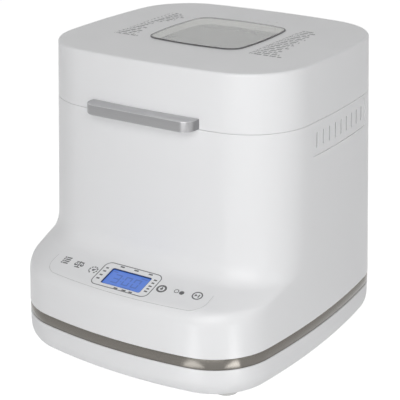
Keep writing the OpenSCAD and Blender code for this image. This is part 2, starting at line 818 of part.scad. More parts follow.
module display_window() {
  color("royalblue", 0.6) at_deck() translate([lcd_shift, 0, -shell_t])
    rounded_plate(lcd_w - 2 * seat_gap, lcd_d - 2 * seat_gap, lcd_r - seat_gap, shell_t - display_drop);
}

key_pitch = 18.5;
key_first = lcd_w / 2 + 16;
module touch_springs() {
  top = shell_t + 3;
  color("silver") at_deck() for (side = [-1, 1], i = [0:key_count / 2 - 1])
    translate([lcd_shift + side * (key_first + i * key_pitch), 0, -board_drop])
      tube(2.6, 1.8, board_drop - top);
}

// Thin film that follows the deck's surface
overlay_t = 0.3;
overlay_gap = 0.15;
module control_overlay() {
  high = -overlay_t - overlay_gap;
  p_out = deck_profile(high);
  p_in = deck_profile(-overlay_gap);
  first = deck_n - 2;
  last = deck_n + 4;
  color("white") difference() {
    intersection() {
      loft(concat([for (i = [first:last]) ring(p_out[i][1], high, p_out[i][0])],
        [for (i = [last:-1:first]) ring(p_in[i][1], -overlay_gap, p_in[i][0])]), closed = true);
      translate([lcd_shift, front_at + lean(deck_mid_z) - deck_mid, deck_mid_z - 30]) overlay_shape(60);
    }
    display_cut();
  }
}

overlay_w = 183;
overlay_front = 20.5;
overlay_back = 24;
overlay_r = 14;
overlay_side = (overlay_front + overlay_back) / 2 - overlay_r;
overlay_steps = 12;
function overlay_sag(x) = base_front_r - sqrt(base_front_r * base_front_r - x * x);
module overlay_shape(h) {
  half = overlay_w / 2 - overlay_r;
  depth = overlay_front + overlay_back;
  linear_extrude(h) polygon([
    for (p = concat(round_rect(overlay_w, depth, overlay_r),
      [for (i = [1:overlay_steps - 1]) [half * (2 * i / overlay_steps - 1), -depth / 2]]))
      let (share = min(1, max(0, (overlay_side - p[1]) / (2 * overlay_side))))
      [p[0], p[1] + (overlay_back - overlay_front) / 2 + share * overlay_sag(p[0])]]);
}

module cord_gland() {
  color("dimgray") translate([gland_x, gland_wall, gland_z]) rotate([-90, 0, 0]) difference() {
    union() {
      translate([0, 0, seat_gap]) cylinder(r = gland_r, h = gland_flange_t);
      translate([0, 0, -shell_t - 6]) cylinder(r = gland_neck_r, h = shell_t + 6 + gland_flange_t);
      translate([0, 0, -shell_t - 5]) cylinder(r = gland_r, h = 3);
    }
    translate([0, 0, -shell_t - 8]) cylinder(r = cord_r, h = shell_t + 16);
  }
}

// --- hinge ----------------------------------------------------------------------------------------------

knuckle_w = hinge_w / 3;
leaf_y = hinge_y - knuckle_r - 3;
flange_y = leaf_y - 3.5;

module at_hinges() {
  for (side = [-1, 1]) translate([side * hinge_x, hinge_y, seam_z]) children();
}

// Knuckle between x0 and x1 with the web that carries it; up = 1 for the lid, -1 for the housing
module knuckle(x0, x1, up) {
  web = [knuckle_r + leaf_wall, hinge_drop - seat_gap];
  difference() {
    union() {
      translate([x0, 0, 0]) rotate([0, 90, 0]) cylinder(r = knuckle_r, h = x1 - x0);
      translate([x0, -knuckle_r - leaf_wall, up > 0 ? 0 : -web[1]]) cube([x1 - x0, web[0], web[1]]);
    }
    translate([x0 - 1, 0, 0]) rotate([0, 90, 0]) cylinder(r = pin_r + run_gap, h = x1 - x0 + 2);
  }
}
leaf_wall = 3;

module hinge_brackets() {
  half = hinge_w / 2;
  gap = 0.25;
  color("white") at_hinges() difference() {
    union() {
      knuckle(-half, -knuckle_w / 2 - gap, -1);
      knuckle(knuckle_w / 2 + gap, half, -1);
      translate([-half, -knuckle_r - leaf_wall, -hinge_drop + seat_gap])
        cube([hinge_w, leaf_wall, hinge_drop - seat_gap - knuckle_r - 1]);
      translate([-half, flange_y - hinge_y, -hinge_drop - 12])
        cube([hinge_w, 3 - 0.6, 12 + hinge_drop - knuckle_r - 1]);
      translate([-half, flange_y - hinge_y + 1, -hinge_drop + seat_gap])
        cube([hinge_w, 4, hinge_drop - seat_gap - knuckle_r - 1]);
    }
    for (x = [-7, 7]) translate([x, flange_y - hinge_y - 1, -hinge_drop - 6]) rotate([-90, 0, 0])
      cylinder(r = 1.6, h = 6);
  }
}

module hinge_leaves() {
  half = hinge_w / 2;
  gap = 0.25;
  low = knuckle_r + 1;
  color("white") at_hinges() difference() {
    union() {
      knuckle(-knuckle_w / 2 + gap, knuckle_w / 2 - gap, 1);
      translate([-half, -knuckle_r - leaf_wall, low]) cube([hinge_w, leaf_wall, hinge_drop - seat_gap - low]);
      translate([-half, flange_y - hinge_y, low]) cube([hinge_w, 2.4, hinge_drop + 10 - low]);
      translate([-half, flange_y - hinge_y + 1, low]) cube([hinge_w, 4, hinge_drop - seat_gap - low]);
    }
    for (x = [-7, 7]) translate([x, flange_y - hinge_y - 1, hinge_drop + 5]) rotate([-90, 0, 0])
      cylinder(r = 1.6, h = 6);
  }
}

module hinge_pins() {
  color("silver") at_hinges() translate([-hinge_w / 2, 0, 0]) rotate([0, 90, 0])
    cylinder(r = pin_r, h = hinge_w);
}

module small_screw(len) {
  translate([0, 0, -1.4]) cylinder(r = 2.6, h = 1.4);
  translate([0, 0, -eps]) cylinder(r = 1.4, h = len);
}

// Screws of the hinge brackets, then those that hold the chassis on its posts
module casing_screws() {
  color("silver") at_hinges() for (x = [-7, 7])
    translate([x, flange_y - hinge_y, -hinge_drop - 6]) rotate([-90, 0, 0]) small_screw(2.4);
  color("silver") at_posts() {
    translate([0, 0, tub_floor_z - 2]) cylinder(r = 3.4, h = 2);
    translate([0, 0, tub_floor_z - eps]) cylinder(r = post_screw_r, h = screw_len);
  }
}

// --- lid ------------------------------------------------------------------------------------------------

module lid_shell() {
  edge_steps = 3;
  rising = [for (i = [0:edge_steps]) let (a = 90 * i / edge_steps)
    ring(lid_top - lid_edge_r * (1 - sin(a)), lid_edge_r * (1 - cos(a)), 0)];
  color("white") difference() {
    union() {
      loft(concat([ring(lid_top - shell_t, shell_t, 0), ring(lid_bottom, shell_t, 0),
        ring(lid_bottom, 0, 0)], rising));
      at_chamber() translate([0, 0, well_z]) window_plate(-well_out, lid_top - shell_t - well_z + eps);
    }
    at_chamber() translate([0, 0, lid_top - shell_t]) window_plate(0, shell_t + 2);
    at_chamber() translate([0, 0, well_z - 1]) window_plate(well_in, lid_room);
    for (i = [0:steam_count - 1]) translate([(i - (steam_count - 1) / 2) * steam_pitch + steam_x,
      chamber_y + window_d / 2 + steam_y, lid_top - shell_t - 1]) cylinder(r = steam_r, h = shell_t + 2);
    hinge_notches(lid_bottom - 1, hinge_drop + 1 - seam_gap / 2);
    for (x = [-1, 1]) translate([x * handle_w / 3, lid_front - 1, handle_z + handle_h / 2])
      rotate([-90, 0, 0]) cylinder(r = 1.8, h = shell_t + 6);
  }
}

steam_x = 5;
steam_y = 14;
lid_front = front_at + lean(seam_z);
handle_z = lid_bottom;
ceiling_z = overall_h - lid_room;
lid_top = overall_h - pane_proud;
well_z = ceiling_z + liner_t + seat_gap;
well_out = 1.2;
well_in = gasket_w + 0.6;
module window_plate(inset, h) {
  linear_extrude(h) polygon(bulged_outline(window_w / 2 - inset, inset - window_d / 2, window_d / 2 - inset,
    window_r - inset, window_r - inset, window_bulge_r - inset, window_bulge_r - inset, 0));
}

module lid_handle() {
  front = lid_front - handle_out;
  depth = 40;
  color("silver") difference() {
    translate([0, 0, handle_z]) linear_extrude(handle_h) difference() {
      translate([0, front + depth / 2]) polygon(round_rect(handle_w, depth, handle_r));
      polygon(body_outline(handle_z, -0.05, 0));
    }
    for (x = [-1, 1]) translate([x * handle_w / 3, lid_front - 6, handle_z + handle_h / 2])
      rotate([-90, 0, 0]) cylinder(r = 1.45, h = 10);
  }
}

module lid_screws() {
  color("silver") {
    for (x = [-1, 1]) translate([x * handle_w / 3, lid_front + shell_t + 1.6, handle_z + handle_h / 2])
      rotate([90, 0, 0]) small_screw(shell_t + 5);
    at_hinges() for (x = [-7, 7])
      translate([x, flange_y - hinge_y, hinge_drop + 5]) rotate([-90, 0, 0]) small_screw(2.4);
  }
}

module lid_liner() {
  flange_z = lid_bottom + 0.2;
  inner_w = chamber_w + 4;
  inner_d = chamber_d + 4;
  h = ceiling_z + liner_t - flange_z;
  color("silver") difference() {
    union() {
      translate([0, 0, flange_z]) linear_extrude(liner_t)
        polygon(body_outline(lid_bottom, shell_t + seat_gap, 0));
      at_chamber() translate([0, 0, flange_z])
        rounded_plate(inner_w + 2 * liner_t, inner_d + 2 * liner_t, chamber_r + 2 + liner_t, h);
    }
    at_chamber() translate([0, 0, flange_z - 1])
      rounded_plate(inner_w, inner_d, chamber_r + 2, ceiling_z - flange_z + 1);
    at_chamber() translate([0, 0, ceiling_z - 1])
      window_plate(7, liner_t + 2);
    hinge_notches(flange_z - 1, hinge_drop + 14);
    for (x = [-1, 1]) translate([x * handle_w / 3 - 4, lid_front, flange_z - 1]) cube([8, 10, liner_t + 2]);
  }
}

module lid_seal() {
  h = lid_bottom + 0.2 - collar_top - seat_gap / 2;
  color("gray") at_chamber() translate([0, 0, lid_bottom + 0.2 - h]) difference() {
    rounded_plate(chamber_w + 22, chamber_d + 22, chamber_r + 11, h);
    translate([0, 0, -1]) rounded_plate(chamber_w + 10, chamber_d + 10, chamber_r + 5, h + 2);
  }
}

gasket_drop = 0.15;
module window_gasket() {
  low = lid_top - shell_t + 0.1;
  color("dimgray") at_chamber() difference() {
    translate([0, 0, low]) window_plate(0.1, overall_h - gasket_drop - low);
    translate([0, 0, low - 1]) window_plate(0.1 + gasket_w, shell_t + pane_proud + 2);
  }
}

module window_glass() {
  color("lightblue", 0.3) at_chamber() translate([0, 0, overall_h - pane_t])
    window_plate(0.2 + gasket_w, pane_t);
}

module inner_glass() {
  color("lightblue", 0.3) at_chamber() translate([0, 0, ceiling_z + liner_t]) window_plate(2, pane_t);
}

// --- pan and kneader ------------------------------------------------------------------------------------

ear_r = 2.5;
ear_z = rim_z - bail_drop;
bail_x = pan_w / 2 + rim_w + bail_r + 0.6;
bail_reach = pan_d / 2 + rim_w + bail_r + 2;
pan_hole_r = bush_r + 1.5;

module bread_pan() {
  color("dimgray") at_chamber() difference() {
    union() {
      translate([0, 0, pan_z]) rounded_plate(pan_w, pan_d, pan_r, pan_h);
      translate([0, 0, rim_z - 3]) rounded_plate(pan_w + 2 * rim_w, pan_d + 2 * rim_w, pan_r + rim_w, 3);
    }
    translate([0, 0, pan_z + pan_t])
      rounded_plate(pan_w - 2 * pan_t, pan_d - 2 * pan_t, pan_r - pan_t, pan_h);
    translate([0, 0, pan_z - 1]) cylinder(r = pan_hole_r + seat_gap, h = pan_t + 2);
    for (side = [-1, 1]) translate([side * pan_w / 2, 0, ear_z]) rotate([0, 90, 0])
      cylinder(r = ear_r - 0.5, h = 20, center = true);
  }
}

module pan_base_ring() {
  color("silver") at_chamber() translate([0, 0, chamber_floor_z + 0.5])
    tube(base_ring_r, base_ring_r - base_ring_t, pan_lift - 0.5);
}

module pan_bush() {
  low = pan_z - 6;
  color("goldenrod") at_chamber() difference() {
    union() {
      translate([0, 0, low]) cylinder(r = pan_hole_r, h = pan_z + pan_t - low);
      translate([0, 0, pan_z + pan_t]) cylinder(r = pan_hole_r + 3, h = 1.6);
    }
    translate([0, 0, low - 1]) cylinder(r = shaft_r + run_gap, h = pan_t + 12);
  }
}

module shaft_seal() {
  color("firebrick") at_chamber() translate([0, 0, pan_z + pan_t + 1.6])
    tube(shaft_r + 3, shaft_r + run_gap, 1.6);
}

module bail_pivots() {
  color("silver") at_chamber() for (side = [-1, 1]) translate([side * (pan_w / 2 - pan_t), 0, ear_z])
    rotate([0, side * 90, 0]) {
      translate([0, 0, -1.2]) cylinder(r = ear_r + 1.6, h = 1.2);
      translate([0, 0, -eps]) cylinder(r = ear_r - 0.5 - run_gap, h = pan_t + eps);
      translate([0, 0, pan_t]) cylinder(r = ear_r, h = rim_w + 2 * bail_r + 1.4);
      translate([0, 0, pan_t + rim_w + 2 * bail_r + 1.4]) cylinder(r = ear_r + 1.2, h = 1);
    }
}

module bail_handle() {
  bend = 10;
  eye = ear_r + run_gap;
  arc = [for (a = [0:15:90]) [bail_x - bend + bend * cos(a), bail_reach - bend + bend * sin(a), 0]];
  half = concat([[bail_x, ear_r + 1.5, 0]], arc);
  path = concat(half, [for (i = [len(half) - 1:-1:0]) [-half[i][0], half[i][1], 0]]);
  color("silver") at_chamber() translate([0, 0, ear_z]) difference() {
    union() {
      level_tube(path, bail_r, 12);
      for (side = [-1, 1]) translate([side * bail_x, 0, 0]) rotate([0, 90, 0])
        cylinder(r = ear_r + 2.4, h = 2 * bail_r + 0.4, center = true);
    }
    rotate([0, 90, 0]) cylinder(r = eye, h = 2 * bail_x + 20, center = true);
  }
}

grip_w = 56;
grip_r = 4.6;
module bail_grip() {
  color("black") at_chamber() translate([-grip_w / 2, bail_reach, ear_z]) rotate([0, 90, 0])
    tube(grip_r, bail_r + 0.05, grip_w);
}

shaft_top = pan_z + pan_t + 34;
wing_z = coupling_z + disc_h + 1;
hub_top = pan_z - 6 - 0.8;
module paddle_shaft() {
  color("silver") at_chamber() translate([0, 0, wing_z]) cylinder(r = shaft_r, h = shaft_top - wing_z);
}

module pan_coupling() {
  color("gray") at_chamber() translate([0, 0, wing_z]) {
    tube(7, shaft_r, hub_top - wing_z);
    difference() {
      translate([-2.5, -14.5, 0]) cube([5, 29, dog_h - 2]);
      translate([0, 0, -1]) cylinder(r = 6, h = dog_h + 2);
    }
  }
}

module kneading_paddle() {
  low = pan_z + pan_t + 4.2;
  hub_r = shaft_r + 5;
  color("dimgray") at_chamber() translate([0, 0, low]) difference() {
    union() {
      cylinder(r = hub_r, h = shaft_top - low + 3);
      translate([0, 3.5, 0]) rotate([90, 0, 0]) linear_extrude(7) polygon([[-hub_r + 2, 0], [paddle_len, 0],
        [paddle_len, 8], [paddle_len - 8, 22], [14, paddle_h - 6], [9, paddle_h], [2, paddle_h],
        [-hub_r + 2, paddle_h - 12]]);
    }
    translate([0, 0, -1]) cylinder(r = shaft_r + 0.05, h = shaft_top - low + 1.2);
  }
}

outer_housing();
vent_grilles();
base_tub();
trim_band();
rubber_feet();
chamber_collar();
baking_chamber();
heat_shield();
heating_element();
heater_clips();
temperature_sensor();
thermal_fuse();
pan_seat();
chassis_plate();
chassis_posts();
bearing_housing();
drive_bushes();
motor_stator();
motor_windings();
motor_end_caps();
motor_bracket();
motor_capacitor();
drive_belt();
power_board();
transformer();
relay();
terminal_block();
control_board();
lcd_module();
display_window();
control_overlay();
touch_springs();
cord_gland();
hinge_brackets();
hinge_pins();
casing_screws();
lid_shell();
lid_liner();
window_glass();
inner_glass();
window_gasket();
lid_handle();
lid_screws();
hinge_leaves();
lid_seal();
bread_pan();
pan_base_ring();
pan_bush();
shaft_seal();
bail_pivots();
bail_handle();
bail_grip();
kneading_paddle();
paddle_shaft();
pan_coupling();
drive_shaft();
drive_coupling();
drive_pulley();
motor_rotor();
motor_pulley();
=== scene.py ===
import json
import math

import bmesh
import bpy
from bpy.props import FloatProperty, FloatVectorProperty, PointerProperty
from bpy.types import Operator, Panel, PropertyGroup
from mathutils import Matrix, Vector
from mathutils.bvhtree import BVHTree


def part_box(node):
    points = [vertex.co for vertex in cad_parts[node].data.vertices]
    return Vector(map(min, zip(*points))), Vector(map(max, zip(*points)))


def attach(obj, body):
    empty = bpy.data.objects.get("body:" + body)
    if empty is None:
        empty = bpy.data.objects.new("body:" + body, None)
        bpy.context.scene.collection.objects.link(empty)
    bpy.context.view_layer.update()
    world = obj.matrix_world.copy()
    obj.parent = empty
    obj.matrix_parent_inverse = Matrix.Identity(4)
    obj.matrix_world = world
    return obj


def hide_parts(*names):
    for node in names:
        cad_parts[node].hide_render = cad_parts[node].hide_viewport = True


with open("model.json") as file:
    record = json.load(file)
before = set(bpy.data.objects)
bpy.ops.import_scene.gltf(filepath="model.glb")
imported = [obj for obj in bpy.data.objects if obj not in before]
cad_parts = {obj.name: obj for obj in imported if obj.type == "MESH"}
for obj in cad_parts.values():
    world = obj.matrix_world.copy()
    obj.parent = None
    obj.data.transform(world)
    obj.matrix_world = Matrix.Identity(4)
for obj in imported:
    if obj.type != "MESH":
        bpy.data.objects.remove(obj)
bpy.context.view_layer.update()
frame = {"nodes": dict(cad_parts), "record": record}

bl_info = {
    "name": "Bread machine",
    "version": (1, 0, 0),
    "blender": (4, 5, 0),
    "location": "View3D > Sidebar > Bread machine",
    "description": "Builds the finished shells, trim, controls and lid of a countertop bread machine",
    "category": "Add Mesh",
}

MM = 0.001
TOWER_DEPTH = 0.260
SMOOTH_ANGLE = 32.0


def node_size(node, axis):
    """Length of a CAD node's box along one axis."""
    low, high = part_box(node)
    return high[axis] - low[axis]


def length(name, default, description):
    """A length that the panel shows in the scene's units."""
    return FloatProperty(name=name, description=description, default=default, min=0.0, unit="LENGTH")


def tint(name, default, description):
    """A colour that the panel shows as a swatch."""
    return FloatVectorProperty(name=name, description=description, default=default, size=3,
                               min=0.0, max=1.0, subtype="COLOR")


class BodySizes(PropertyGroup):
    """Sizes of the housing, the lid, the tub and the band."""
    width: length("Width", node_size("trim_band", 0), "Width across the sides at the band")
    depth: length("Tower depth", TOWER_DEPTH, "Depth of the tower at the band")
    reach: length("Deck reach", node_size("trim_band", 1) - TOWER_DEPTH,
                  "Reach of the deck before the tower")
    height: length("Height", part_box("lid_shell")[1][2], "Height of the window pane's top")
    seam: length("Seam height", 0.2424, "Height of the seam between housing and lid")
    seam_gap: length("Seam gap", 0.4 * MM, "Gap between the housing and the lid")
    band_top: length("Band top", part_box("trim_band")[1][2], "Height of the band's upper edge")
    band_bottom: length("Band bottom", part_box("trim_band")[0][2], "Height of the band's lower edge")
    draft: FloatProperty(name="Draft", description="Lean of the walls per unit of height", default=0.03)
    corner: length("Corner radius", 0.065, "Radius of the tower's upright corners")
    front_corner: length("Front corner radius", 0.0656, "Radius of the base's front corners")
    side_bulge: length("Side bulge radius", 0.760, "Radius of the bulging sides and back")
    tower_front: length("Tower front radius", 0.860, "Radius of the tower's bulging front")
    base_front: length("Base front radius", 0.493, "Radius of the base's bulging front")
    wall: length("Wall", 2.8 * MM, "Wall of the shells")


class DeckSizes(PropertyGroup):
    """Shape of the control deck and of what is printed on it."""
    edge_z: length("Edge height", 0.075, "Height at which the front wall begins to round over")
    edge_r: length("Edge radius", 0.014, "Radius of the round-over at the front")
    slope: FloatProperty(name="Slope", description="Slope of the deck", default=math.radians(16.5),
                         subtype="ANGLE")
    hollow_r: length("Hollow radius", 0.022, "Radius of the hollow at the tower's foot")


class SceneColours(PropertyGroup):
    """Colours of the visible finishes."""
    shell: tint("Shell", (0.86, 0.863, 0.873), "White gloss plastic")
    band: tint("Band", (0.148, 0.139, 0.126), "Dark polished band")
    handle: tint("Handle", (0.50, 0.50, 0.51), "Brushed handle bar")
    ink: tint("Ink", (0.13, 0.13, 0.135), "Printed marks on the deck")
    list_ink: tint("List ink", (0.20, 0.20, 0.21), "Printed lists on the lid")
    display: tint("Display", (0.068, 0.165, 0.55), "Lit display")


def sizes():
    return bpy.context.scene.bread_body


def deck():
    return bpy.context.scene.bread_deck


def colours():
    return bpy.context.scene.bread_colours


# --- outlines --------------------------------------------------------------------------------------------

ARC_STEPS = 20
CORNER_STEPS = 22


def lean(z):
    """How far the walls have come in at height z."""
    b = sizes()
    return b.draft * max(0.0, z - b.band_top)


def tower_y():
    """Middle of the tower, front to back."""
    return sizes().reach / 2


def corner_centre(c0, d0, c1, d1, sx, sy):
    """Centre of a corner arc that touches two larger arcs from inside."""
    v = c1 - c0
    gap = v.length
    x = (d0 * d0 - d1 * d1 + gap * gap) / (2 * gap)
    h = math.sqrt(max(d0 * d0 - x * x, 0.0))
    e = v / gap
    p = c0 + x * e
    q = Vector((-e.y, e.x))
    return max((p + h * q, p - h * q), key=lambda c: c.x * sx + c.y * sy)


def angle_of(v):
    """Direction of a 2-D vector, counterclockwise from X."""
    return math.atan2(v.y, v.x)


def arc_points(c, r, a0, a1, n):
    """n points along a counterclockwise arc, without its last one."""
    sweep = (a1 - a0) % (2 * math.pi)
    return [c + r * Vector((math.cos(a0 + sweep * i / n), math.sin(a0 + sweep * i / n))) for i in range(n)]


def bulged_outline(a, yf, yb, rf, rr, bulge, front_bulge, side_y):
    """Closed outline of eight arcs: half width a, front edge yf, back edge yb, sides widest at side_y."""
    c_r = Vector((a - bulge, side_y))
    c_l = Vector((bulge - a, side_y))
    c_b = Vector((0.0, yb - bulge))
    c_f = Vector((0.0, yf + front_bulge))
    rr_c = corner_centre(c_r, bulge - rr, c_b, bulge - rr, 1, 1)
    rf_c = corner_centre(c_r, bulge - rf, c_f, front_bulge - rf, 1, -1)
    lr_c = Vector((-rr_c.x, rr_c.y))
    lf_c = Vector((-rf_c.x, rf_c.y))
    arcs = [(c_f, front_bulge, lf_c - c_f, rf_c - c_f, ARC_STEPS),
            (rf_c, rf, rf_c - c_f, rf_c - c_r, CORNER_STEPS),
            (c_r, bulge, rf_c - c_r, rr_c - c_r, ARC_STEPS),
            (rr_c, rr, rr_c - c_r, rr_c - c_b, CORNER_STEPS),
            (c_b, bulge, rr_c - c_b, lr_c - c_b, ARC_STEPS),
            (lr_c, rr, lr_c - c_b, lr_c - c_l, CORNER_STEPS),
            (c_l, bulge, lr_c - c_l, lf_c - c_l, ARC_STEPS),
            (lf_c, rf, lf_c - c_l, lf_c - c_f, CORNER_STEPS)]
    points = []
    for centre, radius, start, end, steps in arcs:
        points += arc_points(centre, radius, angle_of(start), angle_of(end), steps)
    return points


def body_ring(z, inset=0.0, reach=0.0):
    """Outline of the body at height z, moved in by inset, with the front reaching out by reach."""
    b = sizes()
    share = reach / b.reach
    d = inset + lean(z)
    outline = bulged_outline(
        b.width / 2 - d, tower_y() - b.depth / 2 - reach + d, tower_y() + b.depth / 2 - d,
        b.corner + share * (b.front_corner - b.corner) - inset, b.corner - inset, b.side_bulge - inset,
        b.tower_front + share * (b.base_front - b.tower_front) - inset, tower_y() / 2)
    return [Vector((p.x, p.y, z)) for p in outline]


def deck_line():
    """Reach and height where the deck's flat part starts at the front, and its reach where it ends."""
    b, k = sizes(), deck()
    start_x = b.reach - k.edge_r + k.edge_r * math.sin(k.slope)
    start_z = k.edge_z + k.edge_r * math.cos(k.slope)
    return start_x, start_z, k.hollow_r * (1 - math.sin(k.slope))


def deck_profile(t, edge_steps=14, flat_steps=5, hollow_steps=16):
    """[reach, z] from the front wall up to the tower, moved in by t along the surface's normals."""
    b, k = sizes(), deck()
    edge_x, edge_z = b.reach - k.edge_r, k.edge_z
    start_x, start_z, touch_x = deck_line()
    touch_z = start_z + (start_x - touch_x) * math.tan(k.slope)
    hollow_z = touch_z + k.hollow_r * math.cos(k.slope)
    turn = math.pi / 2 - k.slope
    profile = []
    for i in range(edge_steps + 1):
        a = turn * i / edge_steps
        profile.append((edge_x + (k.edge_r - t) * math.cos(a) + t, edge_z + (k.edge_r - t) * math.sin(a)))
    first = profile[-1]
    hollow = []
    for i in range(hollow_steps + 1):
        a = 1.5 * math.pi - k.slope - turn * i / hollow_steps
        hollow.append((k.hollow_r + (k.hollow_r + t) * math.cos(a) + t,
                       hollow_z + (k.hollow_r + t) * math.sin(a)))
    for i in range(1, flat_steps):
        s = i / flat_steps
        profile.append((first[0] + s * (hollow[0][0] - first[0]), first[1] + s * (hollow[0][1] - first[1])))
    return profile + hollow


def rounded_outline(w, d, r, steps=10):
    """Rounded rectangle as 2-D points."""
    points = []
    for sx, sy, start in ((1, -1, -90), (1, 1, 0), (-1, 1, 90), (-1, -1, 180)):
        c = Vector((sx * (w / 2 - r), sy * (d / 2 - r)))
        for i in range(steps + 1):
            a = math.radians(start + 90 * i / steps)
            points.append(c + r * Vector((math.cos(a), math.sin(a))))
    return points


# --- mesh building ---------------------------------------------------------------------------------------

LEVEL_WITHIN = 1e-6


def grow_ring(bm, verts, edges, ring):
    """Extrudes a closed loop of edges and moves the new loop onto the ring's points."""
    grown = bmesh.ops.extrude_edge_only(bm, edges=edges)["geom"]
    fresh = {part for part in grown if isinstance(part, bmesh.types.BMVert)}
    above = []
    for vert, point in zip(verts, ring):
        top = next(e.other_vert(vert) for e in vert.link_edges if e.other_vert(vert) in fresh)
        top.co = point
        above.append(top)
    return above, [bm.edges.get((above[i], above[(i + 1) % len(above)])) for i in range(len(above))]


def loft(rings, closed=False, caps=(False, False)):
    """A bmesh skin grown from ring to ring; closed joins the last ring to the first."""
    bm = bmesh.new()
    first = [bm.verts.new(p) for p in rings[0]]
    verts = first
    edges = [bm.edges.new((verts[i], verts[(i + 1) % len(verts)])) for i in range(len(verts))]
    ends = [edges]
    for ring in rings[1:] + ([rings[0]] if closed else []):
        verts, edges = grow_ring(bm, verts, edges, ring)
    ends.append(edges)
    if closed:
        bmesh.ops.weld_verts(bm, targetmap=dict(zip(verts, first)))
    for wanted, loop in zip(caps, ends):
        if wanted:
            bmesh.ops.contextual_create(bm, geom=loop)
    bmesh.ops.recalc_face_normals(bm, faces=bm.faces)
    return bm


def lift(points, z):
    """The 2-D points at height z."""
    return [Vector((p.x, p.y, z)) for p in points]


def finer(points, step=1.5 * MM):
    """The same closed outline with more points on its long edges."""
    out = []
    for i, p in enumerate(points):
        q = points[(i + 1) % len(points)]
        n = max(1, math.ceil((q - p).length / step))
        out += [p.lerp(q, j / n) for j in range(n)]
    return out


def prism(points, z0, z1):
    """A closed upright prism on a 2-D outline."""
    return loft([lift(points, z0), lift(points, z1)], caps=(True, True))


def shift(points, x, y):
    """The 2-D points moved by x and y."""
    return [p + Vector((x, y)) for p in points]


def round_rims(bm, width, segments):
    """Rounds over the level edges at both ends of a prism."""
    rims = [e for e in bm.edges if abs(e.verts[0].co.z - e.verts[1].co.z) < LEVEL_WITHIN]
    bmesh.ops.bevel(bm, geom=rims, offset=width, segments=segments, profile=0.5, affect="EDGES",
                    material=-1, clamp_overlap=True)


def smooth(mesh, angle=SMOOTH_ANGLE):
    """Shades the mesh smooth up to the angle, and keeps sharper edges crisp."""
    mesh.shade_smooth()
    mesh.set_sharp_from_angle(angle=math.radians(angle))


def make_object(name, bm, smooth_angle=SMOOTH_ANGLE):
    """Turns a bmesh into an object at the origin."""
    mesh = bpy.data.meshes.new(name)
    bm.to_mesh(mesh)
    bm.free()
    smooth(mesh, smooth_angle)
    piece = bpy.data.objects.new(name, mesh)
    bpy.context.scene.collection.objects.link(piece)
    return piece


def join_bmesh(parts):
    """One bmesh that holds all the given ones."""
    whole = bmesh.new()
    for bm in parts:
        mesh = bpy.data.meshes.new("part")
        bm.to_mesh(mesh)
        bm.free()
        whole.from_mesh(mesh)
        bpy.data.meshes.remove(mesh)
    return whole


def carve(piece, cutter_bm, operation="DIFFERENCE"):
    """Cuts the cutter out of the piece, or the piece down to it, and keeps the result as plain mesh."""
    cutter = make_object(piece.name + "_cutter", cutter_bm)
    modifier = piece.modifiers.new("cut", "BOOLEAN")
    modifier.operation = operation
    modifier.solver = "EXACT"
    modifier.object = cutter
    bpy.context.view_layer.update()
    graph = bpy.context.evaluated_depsgraph_get()
    mesh = bpy.data.meshes.new_from_object(piece.evaluated_get(graph))
    piece.modifiers.clear()
    piece.data = mesh
    smooth(mesh)
    bpy.data.objects.remove(cutter)


def box_bm(low, high):
    """A box between two corners."""
    bm = bmesh.new()
    bmesh.ops.create_cube(bm, size=1.0)
    low, high = Vector(low), Vector(high)
    bmesh.ops.scale(bm, vec=high - low, verts=bm.verts)
    bmesh.ops.translate(bm, vec=(low + high) / 2, verts=bm.verts)
    return bm


def cylinder_bm(radius, depth, centre, along_y=False, segments=32):
    """A cylinder that stands upright or lies front to back."""
    bm = bmesh.new()
    bmesh.ops.create_cone(bm, cap_ends=True, segments=segments, radius1=radius, radius2=radius, depth=depth)
    if along_y:
        bmesh.ops.rotate(bm, cent=(0, 0, 0), matrix=Matrix.Rotation(math.pi / 2, 3, "X"), verts=bm.verts)
    bmesh.ops.translate(bm, vec=centre, verts=bm.verts)
    return bm


def settle(piece, body, finish, slot, *nodes):
    """Gives a piece its finish, its body and the CAD nodes that it stands for."""
    piece.data.materials.clear()
    piece.data.materials.append(FINISHES[finish])
    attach(piece, body)
    if nodes:
        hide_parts(*nodes)
    return piece


# --- finishes --------------------------------------------------------------------------------------------

